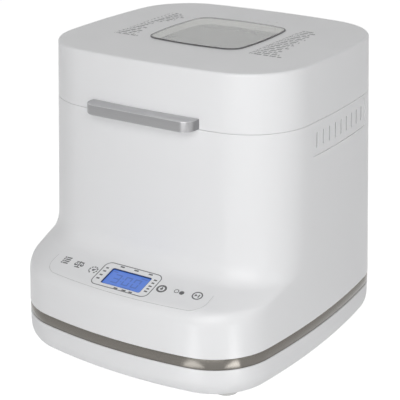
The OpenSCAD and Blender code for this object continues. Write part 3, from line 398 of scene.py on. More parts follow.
class Finish:
    """A Principled material with object-space texture helpers."""

    def __init__(self, name, colour, rough, metallic=0.0, **sockets):
        self.material = bpy.data.materials.new(name)
        self.material.use_nodes = True
        self.tree = self.material.node_tree
        self.shader = next(n for n in self.tree.nodes if n.type == "BSDF_PRINCIPLED")
        self.set("Base Color", (*colour[:3], 1.0))
        self.set("Roughness", rough)
        self.set("Metallic", metallic)
        for socket, value in sockets.items():
            self.set(socket.replace("_", " "), value)
        self.colour, self.rough = colour, rough
        self.coords = self.node("ShaderNodeTexCoord").outputs["Object"]

    def set(self, socket, value):
        self.shader.inputs[socket].default_value = value

    def node(self, kind):
        return self.tree.nodes.new(kind)

    def link(self, a, b):
        self.tree.links.new(a, b)

    def stretched(self, scale):
        mapping = self.node("ShaderNodeMapping")
        mapping.inputs["Scale"].default_value = scale
        self.link(self.coords, mapping.inputs["Vector"])
        return mapping.outputs["Vector"]

    def noise(self, scale, detail=3.0, vector=None):
        texture = self.node("ShaderNodeTexNoise")
        texture.inputs["Scale"].default_value = scale
        texture.inputs["Detail"].default_value = detail
        self.link(vector or self.coords, texture.inputs["Vector"])
        return texture.outputs["Fac"]

    def ramp(self, source, low, high):
        """Maps the middle of a noise onto low … high."""
        span = self.node("ShaderNodeMapRange")
        span.inputs["From Min"].default_value = 0.3
        span.inputs["From Max"].default_value = 0.7
        span.inputs["To Min"].default_value = low
        span.inputs["To Max"].default_value = high
        self.link(source, span.inputs["Value"])
        return span.outputs["Result"]

    def mottled(self, source, amount):
        """The base colour swings by amount about its value, following a noise."""
        mix = self.node("ShaderNodeMix")
        mix.data_type = "RGBA"
        dark = [c * (1 - amount) for c in self.colour[:3]]
        light = [min(1.0, c * (1 + amount)) for c in self.colour[:3]]
        mix.inputs["A"].default_value = (*dark, 1.0)
        mix.inputs["B"].default_value = (*light, 1.0)
        self.link(self.ramp(source, 0.0, 1.0), mix.inputs["Factor"])
        self.link(mix.outputs["Result"], self.shader.inputs["Base Color"])
        return self

    def worn(self, source, swing):
        """The roughness swings about its value, following a noise."""
        self.link(self.ramp(source, max(0.0, self.rough - swing), self.rough + swing),
                  self.shader.inputs["Roughness"])
        return self

    def bumped(self, source, distance, strength=1.0):
        bump = self.node("ShaderNodeBump")
        bump.inputs["Strength"].default_value = strength
        bump.inputs["Distance"].default_value = distance
        self.link(source, bump.inputs["Height"])
        self.link(bump.outputs["Normal"], self.shader.inputs["Normal"])
        return self


def moulded_gloss(name, colour, rough=0.36):
    """Glossy moulded plastic with a faint orange peel."""
    f = Finish(name, colour, rough, IOR=1.45, Coat_Weight=0.1, Coat_Roughness=0.2)
    f.mottled(f.noise(6.0, 2.0), 0.006)
    f.worn(f.noise(38.0), 0.03)
    return f.bumped(f.noise(210.0, 1.0), 0.00002, 0.35).material


def moulded_matt(name, colour, rough=0.5):
    """Matt moulded plastic with a fine grain."""
    f = Finish(name, colour, rough)
    f.mottled(f.noise(14.0), 0.03)
    f.worn(f.noise(60.0), 0.06)
    return f.bumped(f.noise(1400.0), 0.00003, 0.4).material


def brushed(name, colour, rough, along, metallic=1.0, grain=2400.0):
    """Metal brushed along one axis: its grain spreads highlights up and down."""
    f = Finish(name, colour, rough, metallic, Anisotropic=0.9, Anisotropic_Rotation=0.25)
    tangent = f.node("ShaderNodeTangent")
    tangent.direction_type = "RADIAL"
    tangent.axis = "Z"
    f.link(tangent.outputs["Tangent"], f.shader.inputs["Tangent"])
    scale = [grain] * 3
    scale["XYZ".index(along)] = grain / 160
    lines = f.noise(1.0, 2.0, f.stretched(scale))
    f.mottled(lines, 0.05)
    f.worn(lines, 0.05)
    return f.bumped(lines, 0.00002, 0.25).material


def sheet_metal(name, colour, rough=0.34):
    """Rolled sheet or turned steel with a cloudy sheen."""
    f = Finish(name, colour, rough, 1.0)
    cloud = f.noise(26.0, 4.0)
    f.mottled(cloud, 0.03)
    f.worn(cloud, 0.035)
    return f.bumped(f.noise(900.0), 0.00001, 0.3).material


def rubbery(name, colour, rough=0.6):
    """Rubber or silicone with a soft sheen."""
    f = Finish(name, colour, rough, Sheen_Weight=0.1)
    f.mottled(f.noise(30.0), 0.05)
    f.worn(f.noise(80.0), 0.05)
    return f.bumped(f.noise(700.0), 0.00003, 0.3).material


def non_stick(name, colour):
    """Dark sprayed coating with a fine pebble."""
    f = Finish(name, colour, 0.42, 0.35, Coat_Weight=0.2, Coat_Roughness=0.3)
    f.mottled(f.noise(600.0, 4.0), 0.16)
    f.worn(f.noise(40.0), 0.07)
    return f.bumped(f.noise(1300.0), 0.00004, 0.6).material


def clear_pane(name):
    """Clear outer glass."""
    f = Finish(name, (0.93, 0.94, 0.92), 0.02, Transmission_Weight=1.0, IOR=1.3)
    return f.worn(f.noise(20.0), 0.012).material


def misted_pane(name):
    """Inner glass with a light haze."""
    f = Finish(name, (0.08, 0.08, 0.08), 0.3, Transmission_Weight=0.5, IOR=1.12)
    f.mottled(f.noise(30.0), 0.03)
    return f.worn(f.noise(20.0), 0.05).material


def printed(name, colour, rough=0.35):
    """Printed ink, a little uneven."""
    f = Finish(name, colour, rough)
    f.mottled(f.noise(500.0), 0.08)
    return f.worn(f.noise(120.0), 0.05).material


def wound_copper(name):
    """Enamelled wire wound in fine turns."""
    f = Finish(name, (0.66, 0.30, 0.14), 0.3, 0.9)
    turns = f.noise(1.0, 1.0, f.stretched((120, 120, 2600)))
    f.mottled(turns, 0.25)
    return f.bumped(turns, 0.0002, 0.6).material


def circuit_board(name):
    """Green board with the shades of its tracks."""
    f = Finish(name, (0.02, 0.17, 0.07), 0.35)
    f.mottled(f.noise(160.0, 6.0), 0.35)
    return f.worn(f.noise(90.0), 0.08).material


def lit_display(name, colour):
    """Back-lit display: a deep blue under a clear gloss."""
    f = Finish(name, colour, 0.12, Emission_Strength=0.42, Coat_Weight=0.5)
    f.mottled(f.noise(45.0), 0.06)
    f.set("Emission Color", (*colour[:3], 1.0))
    return f.worn(f.noise(30.0), 0.02).material


FINISHES = {}


def make_finishes():
    """Makes every finish, under the name that its pieces ask for."""
    c = colours()
    FINISHES.update({
        "white_plastic": moulded_gloss("White gloss plastic", c.shell),
        "tub_plastic": moulded_gloss("Tub gloss plastic", c.shell, 0.48),
        "band_metal": brushed("Dark polished band", c.band, 0.23, "X", grain=1500.0),
        "handle_metal": brushed("Brushed handle", c.handle, 0.34, "X"),
        # Darker copy of the handle's finish for its upright faces: painted shade
        "handle_painted_shade": brushed("Brushed handle painted shade", [0.62 * part for part in c.handle], 0.34, "X"),
        "foot_rubber": rubbery("Pale foot rubber", (0.68, 0.68, 0.67)),
        "chamber_steel": sheet_metal("Chamber sheet steel", (0.66, 0.66, 0.66), 0.3),
        "plain_steel": sheet_metal("Plain steel", (0.58, 0.58, 0.59)),
        "heater_steel": sheet_metal("Heat-coloured steel", (0.21, 0.20, 0.19), 0.45),
        "pan_coating": non_stick("Non-stick coating", (0.11, 0.11, 0.12)),
        "bronze": sheet_metal("Sintered bronze", (0.55, 0.36, 0.16), 0.45),
        "copper_wire": wound_copper("Enamelled winding"),
        "dark_plastic": moulded_matt("Dark plastic", (0.035, 0.035, 0.038)),
        "inner_plastic": moulded_matt("Inner white plastic", (0.74, 0.74, 0.73), 0.4),
        "well_plastic": moulded_matt("Grey well plastic", (0.52, 0.52, 0.50), 0.4),
        "belt_rubber": rubbery("Belt rubber", (0.03, 0.03, 0.03)),
        "seal_silicone": rubbery("Grey silicone", (0.42, 0.42, 0.42), 0.45),
        "red_silicone": rubbery("Red silicone", (0.46, 0.06, 0.04), 0.45),
        "gasket_rubber": rubbery("Window gasket", (0.10, 0.10, 0.105), 0.4),
        "board_green": circuit_board("Circuit board"),
        "display_blue": lit_display("Lit display", c.display),
        # Dark rim round the lit pane: the display's own dark border, and painted shade from the opening's
        # walls
        "display_border_and_shade": moulded_matt("Display border and painted shade", (0.02, 0.035, 0.12), 0.3),
        "pale_ink": printed("Pale outline", (0.60, 0.60, 0.60)),
        "segments": lit_display("Display segments", [0.72 * part for part in c.display]),
        "overlay_film": moulded_gloss("Overlay film", c.shell, 0.38),
        "clear_glass": clear_pane("Clear glass"),
        "misted_glass": misted_pane("Misted inner glass"),
        "winding_case": moulded_matt("Capacitor case", (0.30, 0.33, 0.36), 0.35),
        "ink": printed("Deck ink", c.ink),
        "list_ink": printed("List ink", c.list_ink),
    })


# --- stage -----------------------------------------------------------------------------------------------

CAMERA_AT = Vector((0.6646, -1.0186, 0.5965))
CAMERA_YAW = math.radians(33.152)
CAMERA_DIP = math.radians(20.91)
CAMERA_ROLL = math.radians(-0.3)
LENS = 115.18
SENSOR = 36.0
CLIP = (0.05, 20.0)
FLOOR_HALF = 6.0
LAMP_TARGET = Vector((0.0, 0.0, 0.13))
CARD_LIFT = 1.0 * MM

# Name, azimuth, elevation, distance, width, height and watts
SOFTBOXES = (
    ("key", 24.0, 25.0, 1.6, 1.3, 1.2, 13.9),
    ("fill_right", 82.0, 20.0, 1.6, 0.8, 1.0, 2.5),
)
# Name, x, y, azimuth, width, length and watts
BAND_CARDS = (
    ("card_left", 0.079, -0.310, -4.0, 0.042, 0.26, 0.10),
    ("card_right", 0.269, -0.199, 66.0, 0.034, 0.26, 0.13),
)
FLOOR_COLOUR = (0.8, 0.8, 0.8, 1.0)
FLOOR_GLOW = 0.78
ROOM_LEVEL = 0.262


def seen_rays(nodes, links):
    """1 where a ray comes from the camera, a reflection or a pane, and 0 where it only gathers light."""
    path = nodes.new("ShaderNodeLightPath")
    total = path.outputs["Is Camera Ray"]
    for kind in ("Is Glossy Ray", "Is Transmission Ray"):
        either = nodes.new("ShaderNodeMath")
        either.operation = "MAXIMUM"
        links.new(total, either.inputs[0])
        links.new(path.outputs[kind], either.inputs[1])
        total = either.outputs[0]
    return total


def pick_by_ray(nodes, links, gathered, seen, surface):
    """Joins the surface to one shader for the rays that see it and another for those that gather light."""
    pick = nodes.new("ShaderNodeMixShader")
    links.new(seen_rays(nodes, links), pick.inputs["Fac"])
    links.new(gathered.outputs[0], pick.inputs[1])
    links.new(seen.outputs[0], pick.inputs[2])
    links.new(pick.outputs[0], surface)


def white_light(nodes, kind, strength):
    """An even white emission or background."""
    light = nodes.new(kind)
    light.inputs["Color"].default_value = (1.0, 1.0, 1.0, 1.0)
    light.inputs["Strength"].default_value = strength
    return light


def make_floor():
    """A wide pale floor that glows white where it is seen."""
    bm = bmesh.new()
    bmesh.ops.create_grid(bm, x_segments=1, y_segments=1, size=FLOOR_HALF)
    floor = make_object("floor", bm)
    material = bpy.data.materials.new("Pale floor")
    material.use_nodes = True
    nodes, links = material.node_tree.nodes, material.node_tree.links
    nodes.clear()
    out = nodes.new("ShaderNodeOutputMaterial")
    diffuse = nodes.new("ShaderNodeBsdfDiffuse")
    diffuse.inputs["Color"].default_value = FLOOR_COLOUR
    glow = white_light(nodes, "ShaderNodeEmission", FLOOR_GLOW)
    both = nodes.new("ShaderNodeAddShader")
    links.new(diffuse.outputs[0], both.inputs[0])
    links.new(glow.outputs[0], both.inputs[1])
    pick_by_ray(nodes, links, diffuse, both, out.inputs["Surface"])
    floor.data.materials.append(material)


def make_world():
    """A white background whose light on the machine is only room light."""
    world = bpy.data.worlds.new("Studio")
    bpy.context.scene.world = world
    world.use_nodes = True
    nodes, links = world.node_tree.nodes, world.node_tree.links
    nodes.clear()
    out = nodes.new("ShaderNodeOutputWorld")
    room = white_light(nodes, "ShaderNodeBackground", ROOM_LEVEL)
    white = white_light(nodes, "ShaderNodeBackground", 1.0)
    pick_by_ray(nodes, links, room, white, out.inputs["Surface"])


def add_lamp(name, width, height, watts):
    """A rectangular area lamp, not yet placed."""
    lamp = bpy.data.lights.new(name, "AREA")
    lamp.shape = "RECTANGLE"
    lamp.size, lamp.size_y = width, height
    lamp.energy = watts
    lamp.use_shadow = True
    piece = bpy.data.objects.new(name, lamp)
    bpy.context.scene.collection.objects.link(piece)
    return piece


def add_softbox(name, azimuth, elevation, distance, width, height, watts):
    """A soft area lamp aimed at the machine."""
    piece = add_lamp(name, width, height, watts)
    a, e = math.radians(azimuth), math.radians(elevation)
    away = Vector((math.sin(a) * math.cos(e), -math.cos(a) * math.cos(e), math.sin(e)))
    piece.location = LAMP_TARGET + away * distance
    piece.rotation_euler = (-away).to_track_quat("-Z", "Y").to_euler()


def add_band_card(name, x, y, azimuth, width, length, watts):
    """A strip on the floor that only shows as a bright patch in the polished band."""
    piece = add_lamp(name, width, length, watts)
    piece.location = (x, y, CARD_LIFT)
    piece.rotation_euler = (math.pi, 0.0, math.radians(azimuth))
    piece.visible_camera = False
    piece.visible_diffuse = False


def make_camera():
    """The camera, in front and to the right, looking down a little."""
    data = bpy.data.cameras.new("camera")
    data.lens, data.sensor_width = LENS, SENSOR
    data.clip_start, data.clip_end = CLIP
    camera = bpy.data.objects.new("camera", data)
    bpy.context.scene.collection.objects.link(camera)
    camera.location = CAMERA_AT
    turn = (Matrix.Rotation(CAMERA_YAW, 4, "Z") @ Matrix.Rotation(math.pi / 2 - CAMERA_DIP, 4, "X")
            @ Matrix.Rotation(CAMERA_ROLL, 4, "Z"))
    camera.rotation_euler = turn.to_euler()
    bpy.context.scene.camera = camera


class BREAD_OT_stage(Operator):
    """Sets up the floor, the light and the camera"""
    bl_idname = "bread.stage"
    bl_label = "Stage"

    def execute(self, context):
        context.scene.view_settings.view_transform = "Standard"
        make_world()
        make_floor()
        for softbox in SOFTBOXES:
            add_softbox(*softbox)
        for card in BAND_CARDS:
            add_band_card(*card)
        make_camera()
        return {"FINISHED"}


# --- shells ----------------------------------------------------------------------------------------------

# Radius of the shells' edges, and distance of the extra rings that steady the shading beside them
EDGE = 0.25 * MM
SUPPORT = 1.2 * MM
# The band lies in a seat, with a gap above and below; behind it the housing and the tub meet
BAND_SEAT = 1.35 * MM
BAND_GAP = 0.15 * MM
BAND_EDGE = 0.35 * MM
JOINT_GAP = 0.3 * MM


def rim_rings(z, inset, reach, r, top, steps=3):
    """Rings that round over an edge of radius r at height z; top says which way is out."""
    rings = []
    for i in range(steps + 1):
        a = math.pi / 2 * i / steps
        dz = r * (1 - math.sin(a))
        rings.append(body_ring(z - dz if top else z + dz, inset + r * (1 - math.cos(a)), reach))
    return rings


def band_mid():
    """Height at which the housing and the tub meet behind the band."""
    return (sizes().band_top + sizes().band_bottom) / 2


def make_housing():
    """The tower and its deck as one open shell, with its openings cut."""
    b = sizes()
    body_top = b.seam - b.seam_gap / 2
    low = b.band_top + BAND_GAP
    profile = deck_profile(0.0)
    foot = band_mid() + JOINT_GAP
    outer = [body_ring(foot, BAND_SEAT, b.reach), body_ring(low, BAND_SEAT, b.reach)]
    outer += list(reversed(rim_rings(low, 0.0, b.reach, BAND_EDGE, top=False)))
    outer += [body_ring(low + SUPPORT, 0.0, b.reach), body_ring(profile[0][1] - 3 * SUPPORT, 0.0, b.reach)]
    outer += [body_ring(z, 0.0, reach) for reach, z in profile]
    outer += [body_ring(profile[-1][1] + 3 * SUPPORT), body_ring(body_top - EDGE - SUPPORT)]
    outer += rim_rings(body_top, 0.0, 0.0, EDGE, top=True)
    inner = [body_ring(body_top, b.wall, 0.0)]
    inner += [body_ring(z, b.wall, reach) for reach, z in reversed(deck_profile(b.wall, 6, 2, 6))]
    inner += [body_ring(foot, b.wall, b.reach)]
    housing = make_object("housing", loft(outer + inner, closed=True))
    notches = notch_cutter(body_top - HINGE_DOWN, body_top + PAST)
    for cutter in (vent_panels(0.0), notches, gland_cutter(), display_cutter()):
        carve(housing, cutter)
    settle(housing, "root", "white_plastic", "white_plastic", "outer_housing")


# How far the chamber's middle lies behind the tower's
CHAMBER_SHIFT = 6 * MM
# The side vents: upright slots in a panel that sits a little below the wall
SLOT_COUNT = 9
SLOT_PITCH = 12 * MM
SLOT_SIZE = (2.4 * MM, 15 * MM)
SLOT_ROUND = 0.45
SLOT_DROP = 18 * MM
VENT_SIZE = (116 * MM, 30 * MM)
VENT_R = 6 * MM
VENT_INSET = 0.6 * MM
VENT_GAP = 0.3 * MM
VENT_CUT = (14 * MM, 12 * MM)
VENT_MARGIN = (2 * MM, 1 * MM)


def chamber_y():
    """Middle of the baking chamber, front to back."""
    return tower_y() + CHAMBER_SHIFT


def vent_z():
    """Height of the vents' middle."""
    return sizes().seam - SLOT_DROP


def upright(outline, y, z, x0, x1):
    """Solid with its outline in the Y-Z plane, from x0 to x1."""
    return loft([[Vector((x, y + p.x, z + p.y)) for p in outline] for x in (x0, x1)], caps=(True, True))


def through_sides(outline, y):
    """The outline as blocks that stand in the left and the right side wall."""
    half = sizes().width / 2
    return [upright(outline, y, vent_z(), x - VENT_CUT[0], x + VENT_CUT[1]) for x in (-half, half)]


def vent_panels(gap):
    """Blocks that stand in both side walls at the vents, smaller by gap all round."""
    w, h = VENT_SIZE
    outline = rounded_outline(w - 2 * gap, h - 2 * gap, VENT_R - gap)
    return join_bmesh(through_sides(outline, chamber_y()))


def vent_slots():
    """Blocks for the upright slots in both panels."""
    w, h = SLOT_SIZE
    outline = rounded_outline(w, h, SLOT_ROUND * w, 6)
    pairs = [through_sides(outline, chamber_y() + (i - (SLOT_COUNT - 1) / 2) * SLOT_PITCH)
             for i in range(SLOT_COUNT)]
    return join_bmesh([pair[side] for side in (0, 1) for pair in pairs])


def make_vents():
    """Slotted panels that sit a little below the side walls."""
    b = sizes()
    low, high = vent_z() - VENT_SIZE[1] / 2 - VENT_MARGIN[0], vent_z() + VENT_SIZE[1] / 2 + VENT_MARGIN[1]
    rings = [body_ring(z, VENT_INSET) for z in (low, high)] + [body_ring(z, b.wall) for z in (high, low)]
    vents = make_object("vent_panels", loft(rings, closed=True))
    carve(vents, vent_panels(VENT_GAP), operation="INTERSECT")
    carve(vents, vent_slots())
    settle(vents, "root", "white_plastic", "white_plastic", "vent_grilles")


# Notches for the hinges, in the housing and the lid
HINGE_X = 52 * MM
HINGE_AXIS_OUT = 1.2 * MM
HINGE_CLEAR = 0.3 * MM
HINGE_DEEP = 14 * MM
HINGE_DOWN = 14 * MM
HINGE_UP = 14.6 * MM
PAST = 2 * MM
# Hole for the cord's gland
GLAND_FLANGE = 2.2 * MM
GLAND_CLEAR = 0.3 * MM
GLAND_CUT = 24 * MM
GLAND_BACK = 4 * MM


def hinge_y():
    """Place of the hinge's axis, front to back."""
    b = sizes()
    return tower_y() + b.depth / 2 - lean(b.seam) + HINGE_AXIS_OUT


def notch_cutter(z0, z1):
    """Blocks for the two notches that the hinges stand in."""
    low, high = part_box("hinge_leaves")
    half = (high[0] - low[0]) / 2 - HINGE_X + HINGE_CLEAR
    return join_bmesh([box_bm((side * HINGE_X - half, hinge_y() - HINGE_DEEP, z0),
                              (side * HINGE_X + half, hinge_y() + HINGE_DEEP, z1)) for side in (-1, 1)])


def gland_cutter():
    """Block for the gland's hole in the back wall."""
    low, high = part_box("cord_gland")
    radius = (high[0] - low[0]) / 2 - GLAND_FLANGE + GLAND_CLEAR
    centre = ((low[0] + high[0]) / 2, high[1] - GLAND_BACK, (low[2] + high[2]) / 2)
    return cylinder_bm(radius, GLAND_CUT, centre, along_y=True)


DISPLAY_SHIFT = 1 * MM
DISPLAY_SIZE = (46 * MM, 23.5 * MM)
DISPLAY_R = 2 * MM
DISPLAY_CUT = 8 * MM


def deck_matrix():
    """Frame of the deck: X right, Y up the slope, Z out of the surface."""
    b, k = sizes(), deck()
    start_x, start_z, touch_x = deck_line()
    mid = (start_x + touch_x) / 2
    mid_z = start_z + (start_x - mid) * math.tan(k.slope)
    return (Matrix.Translation((0.0, tower_y() - b.depth / 2 + lean(mid_z) - mid, mid_z))
            @ Matrix.Rotation(k.slope, 4, "X"))


def display_cutter():
    """Block for the display's opening."""
    w, d = DISPLAY_SIZE
    bm = prism(shift(rounded_outline(w, d, DISPLAY_R), DISPLAY_SHIFT, 0.0), -DISPLAY_CUT, DISPLAY_CUT)
    bmesh.ops.transform(bm, matrix=deck_matrix(), verts=bm.verts)
    return bm


class BREAD_OT_housing(Operator):
    """Makes the housing with its deck, slots and openings"""
    bl_idname = "bread.housing"
    bl_label = "Housing"

    def execute(self, context):
        make_housing()
        make_vents()
        return {"FINISHED"}


# --- controls --------------------------------------------------------------------------------------------

# The film over the deck, the display's pane and liner, and the prints
OVERLAY_W = 183 * MM
OVERLAY_FRONT = 20.5 * MM
OVERLAY_BACK = 24 * MM
OVERLAY_R = 14 * MM
OVERLAY_T = 0.3 * MM
OVERLAY_GAP = 0.15 * MM
OVERLAY_REACH = (2 * MM, 54 * MM)
OVERLAY_CUT = 30 * MM
DISPLAY_DROP = 1.2 * MM
DISPLAY_GAP = 0.15 * MM
DISPLAY_RIM = 0.5 * MM
DISPLAY_RIM_DROP = 0.1 * MM
INK_T = 0.05 * MM
INK_LIFT = 0.01 * MM


def overlay_outline():
    """Rounded plate whose front follows the deck's bulge, in the deck's plan."""
    radius = sizes().base_front
    straight = (OVERLAY_FRONT + OVERLAY_BACK) / 2 - OVERLAY_R
    outline = []
    for p in finer(rounded_outline(OVERLAY_W, OVERLAY_FRONT + OVERLAY_BACK, OVERLAY_R, 12)):
        share = min(1.0, max(0.0, (straight - p.y) / (2 * straight)))
        sag = share * (radius - math.sqrt(radius ** 2 - p.x ** 2))
        outline.append(Vector((p.x, p.y + (OVERLAY_BACK - OVERLAY_FRONT) / 2 + sag)))
    return outline


def make_overlay():
    """Thin film that follows the deck over its front edge and into its hollow."""
    base, top = deck_profile(-OVERLAY_GAP), deck_profile(-OVERLAY_GAP - OVERLAY_T)
    near, far = OVERLAY_REACH
    span = [i for i, point in enumerate(deck_profile(0.0)) if near < point[0] < far]
    rings = [body_ring(top[i][1], -OVERLAY_GAP - OVERLAY_T, top[i][0]) for i in span]
    rings += [body_ring(base[i][1], -OVERLAY_GAP, base[i][0]) for i in reversed(span)]
    film = make_object("control_film", loft(rings, closed=True))
    at = deck_matrix().translation
    plate = prism(shift(overlay_outline(), DISPLAY_SHIFT, at.y), at.z - OVERLAY_CUT, at.z + OVERLAY_CUT)
    carve(film, plate, operation="INTERSECT")
    carve(film, display_cutter())
    return settle(film, "root", "overlay_film", "overlay_film", "control_overlay")


def make_display():
    """Lit pane at the bottom of the display's opening, with a dark liner round it: the display's dark border
    and painted shade from the opening's walls.
    """
    w, d = DISPLAY_SIZE
    outline = rounded_outline(w - 2 * DISPLAY_GAP, d - 2 * DISPLAY_GAP, DISPLAY_R - DISPLAY_GAP, 6)
    outline = shift(outline, DISPLAY_SHIFT, 0.0)
    bm = prism(outline, -sizes().wall, -DISPLAY_DROP)
    bmesh.ops.transform(bm, matrix=deck_matrix(), verts=bm.verts)
    pane = make_object("display_pane", bm)
    settle(pane, "root", "display_blue", "display_blue", "display_window")
    # The rim's dark colour is partly the display's border and partly painted shade from the opening's walls
    hole = inset_outline(outline, DISPLAY_RIM)
    bm = loft([lift(outline, -DISPLAY_DROP), lift(outline, -DISPLAY_RIM_DROP),
               lift(hole, -DISPLAY_RIM_DROP), lift(hole, -DISPLAY_DROP)], closed=True)
    bmesh.ops.transform(bm, matrix=deck_matrix(), verts=bm.verts)
    rim = make_object("display_border_and_shade", bm)
    settle(rim, "root", "display_border_and_shade", "display_blue")


def search_tree(piece):
    """Tree for ray casts against a made piece."""
    bm = bmesh.new()
    bm.from_mesh(piece.data)
    tree = BVHTree.FromBMesh(bm)
    bm.free()
    return tree


DRAPE_FROM = 20 * MM
INK_LAYER = (INK_LIFT, INK_LIFT + INK_T)


def drape(tree, plane, points, lift_by):
    """2-D points of the plane dropped onto the surface and raised off it."""
    out = (plane.to_3x3() @ Vector((0, 0, 1))).normalized()
    return [tree.ray_cast(plane @ Vector((p.x, p.y, DRAPE_FROM)), -out)[0] + out * lift_by for p in points]


def stamp(tree, plane, outline, hole=None):
    """Thin print with a 2-D outline and, if wanted, a hole of as many points."""
    low, high = INK_LAYER
    rings = [drape(tree, plane, outline, low), drape(tree, plane, outline, high)]
    if hole is None:
        return loft(rings, caps=(True, True))
    return loft(rings + [drape(tree, plane, hole, high), drape(tree, plane, hole, low)], closed=True)


def ribbon(tree, plane, outer, inner):
    """Thin print between two open lines of as many points."""
    low, high = INK_LAYER
    corners = ((outer, low), (inner, low), (inner, high), (outer, high))
    lines = [drape(tree, plane, line, z) for line, z in corners]
    return loft([list(section) for section in zip(*lines)], caps=(True, True))


def bar(x, y, w, h):
    """Corners of a rectangle centred at x, y."""
    return [Vector((x + sx * w / 2, y + sy * h / 2)) for sx, sy in ((-1, -1), (1, -1), (1, 1), (-1, 1))]


def disc(x, y, r, n=20):
    """Points of a circle centred at x, y."""
    turns = [math.tau * i / n for i in range(n)]
    return [Vector((x + r * math.cos(a), y + r * math.sin(a))) for a in turns]


def stroke(x0, y0, x1, y1, w):
    """Rectangle of width w along a line."""
    a, b = Vector((x0, y0)), Vector((x1, y1))
    side = (b - a).normalized().orthogonal() * w / 2
    return [a + side, b + side, b - side, a - side][::-1]


def arc_band(x, y, r, w, a0, a1, n=8):
    """Part of a ring between two angles in degrees."""
    turns = [math.radians(a0 + (a1 - a0) * i / n) for i in range(n + 1)]

    def along(radius, angles):
        return [Vector((x + radius * math.cos(a), y + radius * math.sin(a))) for a in angles]
    return along(r + w / 2, turns) + along(r - w / 2, reversed(turns))


DIGITS = {0: "abcdef", 1: "bc", 2: "abged", 3: "abgcd", 4: "fgbc", 5: "afgcd", 6: "afgedc", 7: "abc",
          8: "abcdefg", 9: "abcdfg"}


def digit(number, x, y, w, h, t):
    """Bars of a seven-part digit with its lower left corner at x, y."""
    bars = {"a": (w / 2, h - t / 2, w, t), "g": (w / 2, h / 2, w, t), "d": (w / 2, t / 2, w, t),
            "b": (w - t / 2, 0.75 * h, t, h / 2 - t), "c": (w - t / 2, 0.25 * h, t, h / 2 - t),
            "f": (t / 2, 0.75 * h, t, h / 2 - t), "e": (t / 2, 0.25 * h, t, h / 2 - t)}
    return [bar(x + bars[k][0], y + bars[k][1], bars[k][2], bars[k][3]) for k in DIGITS[number]]


# Small marks round the display: x, y and width in mm
DISPLAY_MARKS = (
    (-27.4, -7.0, 3.6), (-27.4, -1.7, 3.2), (-27.4, 4.2, 3.6), (-27.4, 9.2, 3.0),
    (-13.6, 15.4, 4.6), (2.7, 15.4, 5.0), (19.4, 15.4, 4.6),
    (-1.6, -14.0, 4.2), (7.8, -14.0, 4.6), (15.4, -14.0, 3.8),
    (28.5, 9.7, 3.4), (28.5, 5.3, 3.0), (28.5, 0.5, 3.4), (28.5, -3.4, 3.0), (28.5, -7.4, 3.4),
)
MARK_TALL = 1.8
# Line round the display: width, depth, corner radius and line width
CONTOUR = (66.2 * MM, 34.2 * MM, 7 * MM, 0.9 * MM)
CONTOUR_AT = (0.5 * MM, 1.1 * MM)
BORDER_IN = 0.6 * MM
BORDER_W = 0.45 * MM
BORDER_BACK = 12 * MM


def solid(*outlines):
    """The outlines as shapes without a hole."""
    return [(outline, None) for outline in outlines]


def ring(x, y, outer, inner, n=20):
    """A round shape with a round hole."""
    return [(disc(x, y, outer, n), disc(x, y, inner, n))]


def menu_icon(x, y):
    """Four rows, each with its point."""
    rows = [y + 2.7 * i for i in range(4)]
    return solid(*(part for row in rows for part in (bar(x - 4.6, row, 1.8, 1.7), bar(x, row, 6.0, 1.6))))


def scales_icon(x, y):
    """A pair of scales: a post on its foot, a beam and two hanging pans."""
    shapes = solid(stroke(x, y - 0.2, x, y + 8.8, 1.3), bar(x, y, 6.0, 1.3),
                   stroke(x - 4.5, y + 7.5, x + 4.5, y + 7.5, 1.2))
    for pan in (x - 3.5, x + 3.5):
        shapes += solid(stroke(pan, y + 7.2, pan - 1.8, y + 3.9, 0.7),
                        stroke(pan, y + 7.2, pan + 1.8, y + 3.9, 0.7),
                        arc_band(pan, y + 4.0, 1.3, 1.8, 180, 360))
    return shapes


def dial_icon(x, y):
    """A dial of short arcs round a hub with its pointer."""
    arcs = [arc_band(x, y, 4.4, 1.5, a, a + 24, 4) for a in range(-60, 230, 36)]
    return solid(*arcs, disc(x, y, 1.5), stroke(x, y, x + 2.3, y + 1.9, 1.0))


def clock_icon(x, y):
    """A clock with a single hand."""
    return ring(x, y, 5.2, 3.2, 32) + solid(disc(x, y, 1.5), stroke(x, y, x, y + 2.8, 1.0))


def crust_icon(x, y):
    """A pale and a dark loaf's crust as a ring and a disc."""
    return ring(x, y, 2.6, 1.8) + solid(disc(x + 5.8, y - 0.3, 2.5))


def start_icon(x, y):
    """A triangle and a bar in a ring."""
    arrow = [Vector((x - 2.6, y - 1.8)), Vector((x + 0.2, y)), Vector((x - 2.6, y + 1.8))]
    return ring(x, y, 5.4, 4.1, 32) + solid(bar(x + 1.6, y, 1.3, 4.0), arrow)


# Each touch key's icon and its place in mm, from left to right
ICONS = (
    (menu_icon, -74.0, 1.7), (scales_icon, -58.5, 0.0), (dial_icon, -39.3, 1.7),
    (clock_icon, 40.8, 1.6), (crust_icon, 56.1, 4.0), (start_icon, 77.8, 5.9),
)


def in_metres(points):
    """The millimetre points in metres."""
    return [p * MM for p in points]


def inset_outline(points, by):
    """The closed counterclockwise outline moved inwards by a small length."""
    out = []
    for i, p in enumerate(points):
        ahead = (points[(i + 1) % len(points)] - points[i - 1]).normalized()
        out.append(p + by * Vector((-ahead.y, ahead.x)))
    return out


def make_deck_prints(film):
    """Icons, marks and the line round the display, on top of the film."""
    plane = deck_matrix()
    tree = search_tree(film)
    w, d, r, line = CONTOUR
    contour = shift(finer(rounded_outline(w, d, r)), *CONTOUR_AT)
    parts = [stamp(tree, plane, contour, inset_outline(contour, line))]
    parts += [stamp(tree, plane, in_metres(bar(x, y, wide, MARK_TALL))) for x, y, wide in DISPLAY_MARKS]
    for icon, x, y in ICONS:
        for outline, hole in icon(x, y):
            parts.append(stamp(tree, plane, in_metres(outline), hole and in_metres(hole)))
    prints = make_object("deck_prints", join_bmesh(parts))
    settle(prints, "root", "ink", "overlay_film")


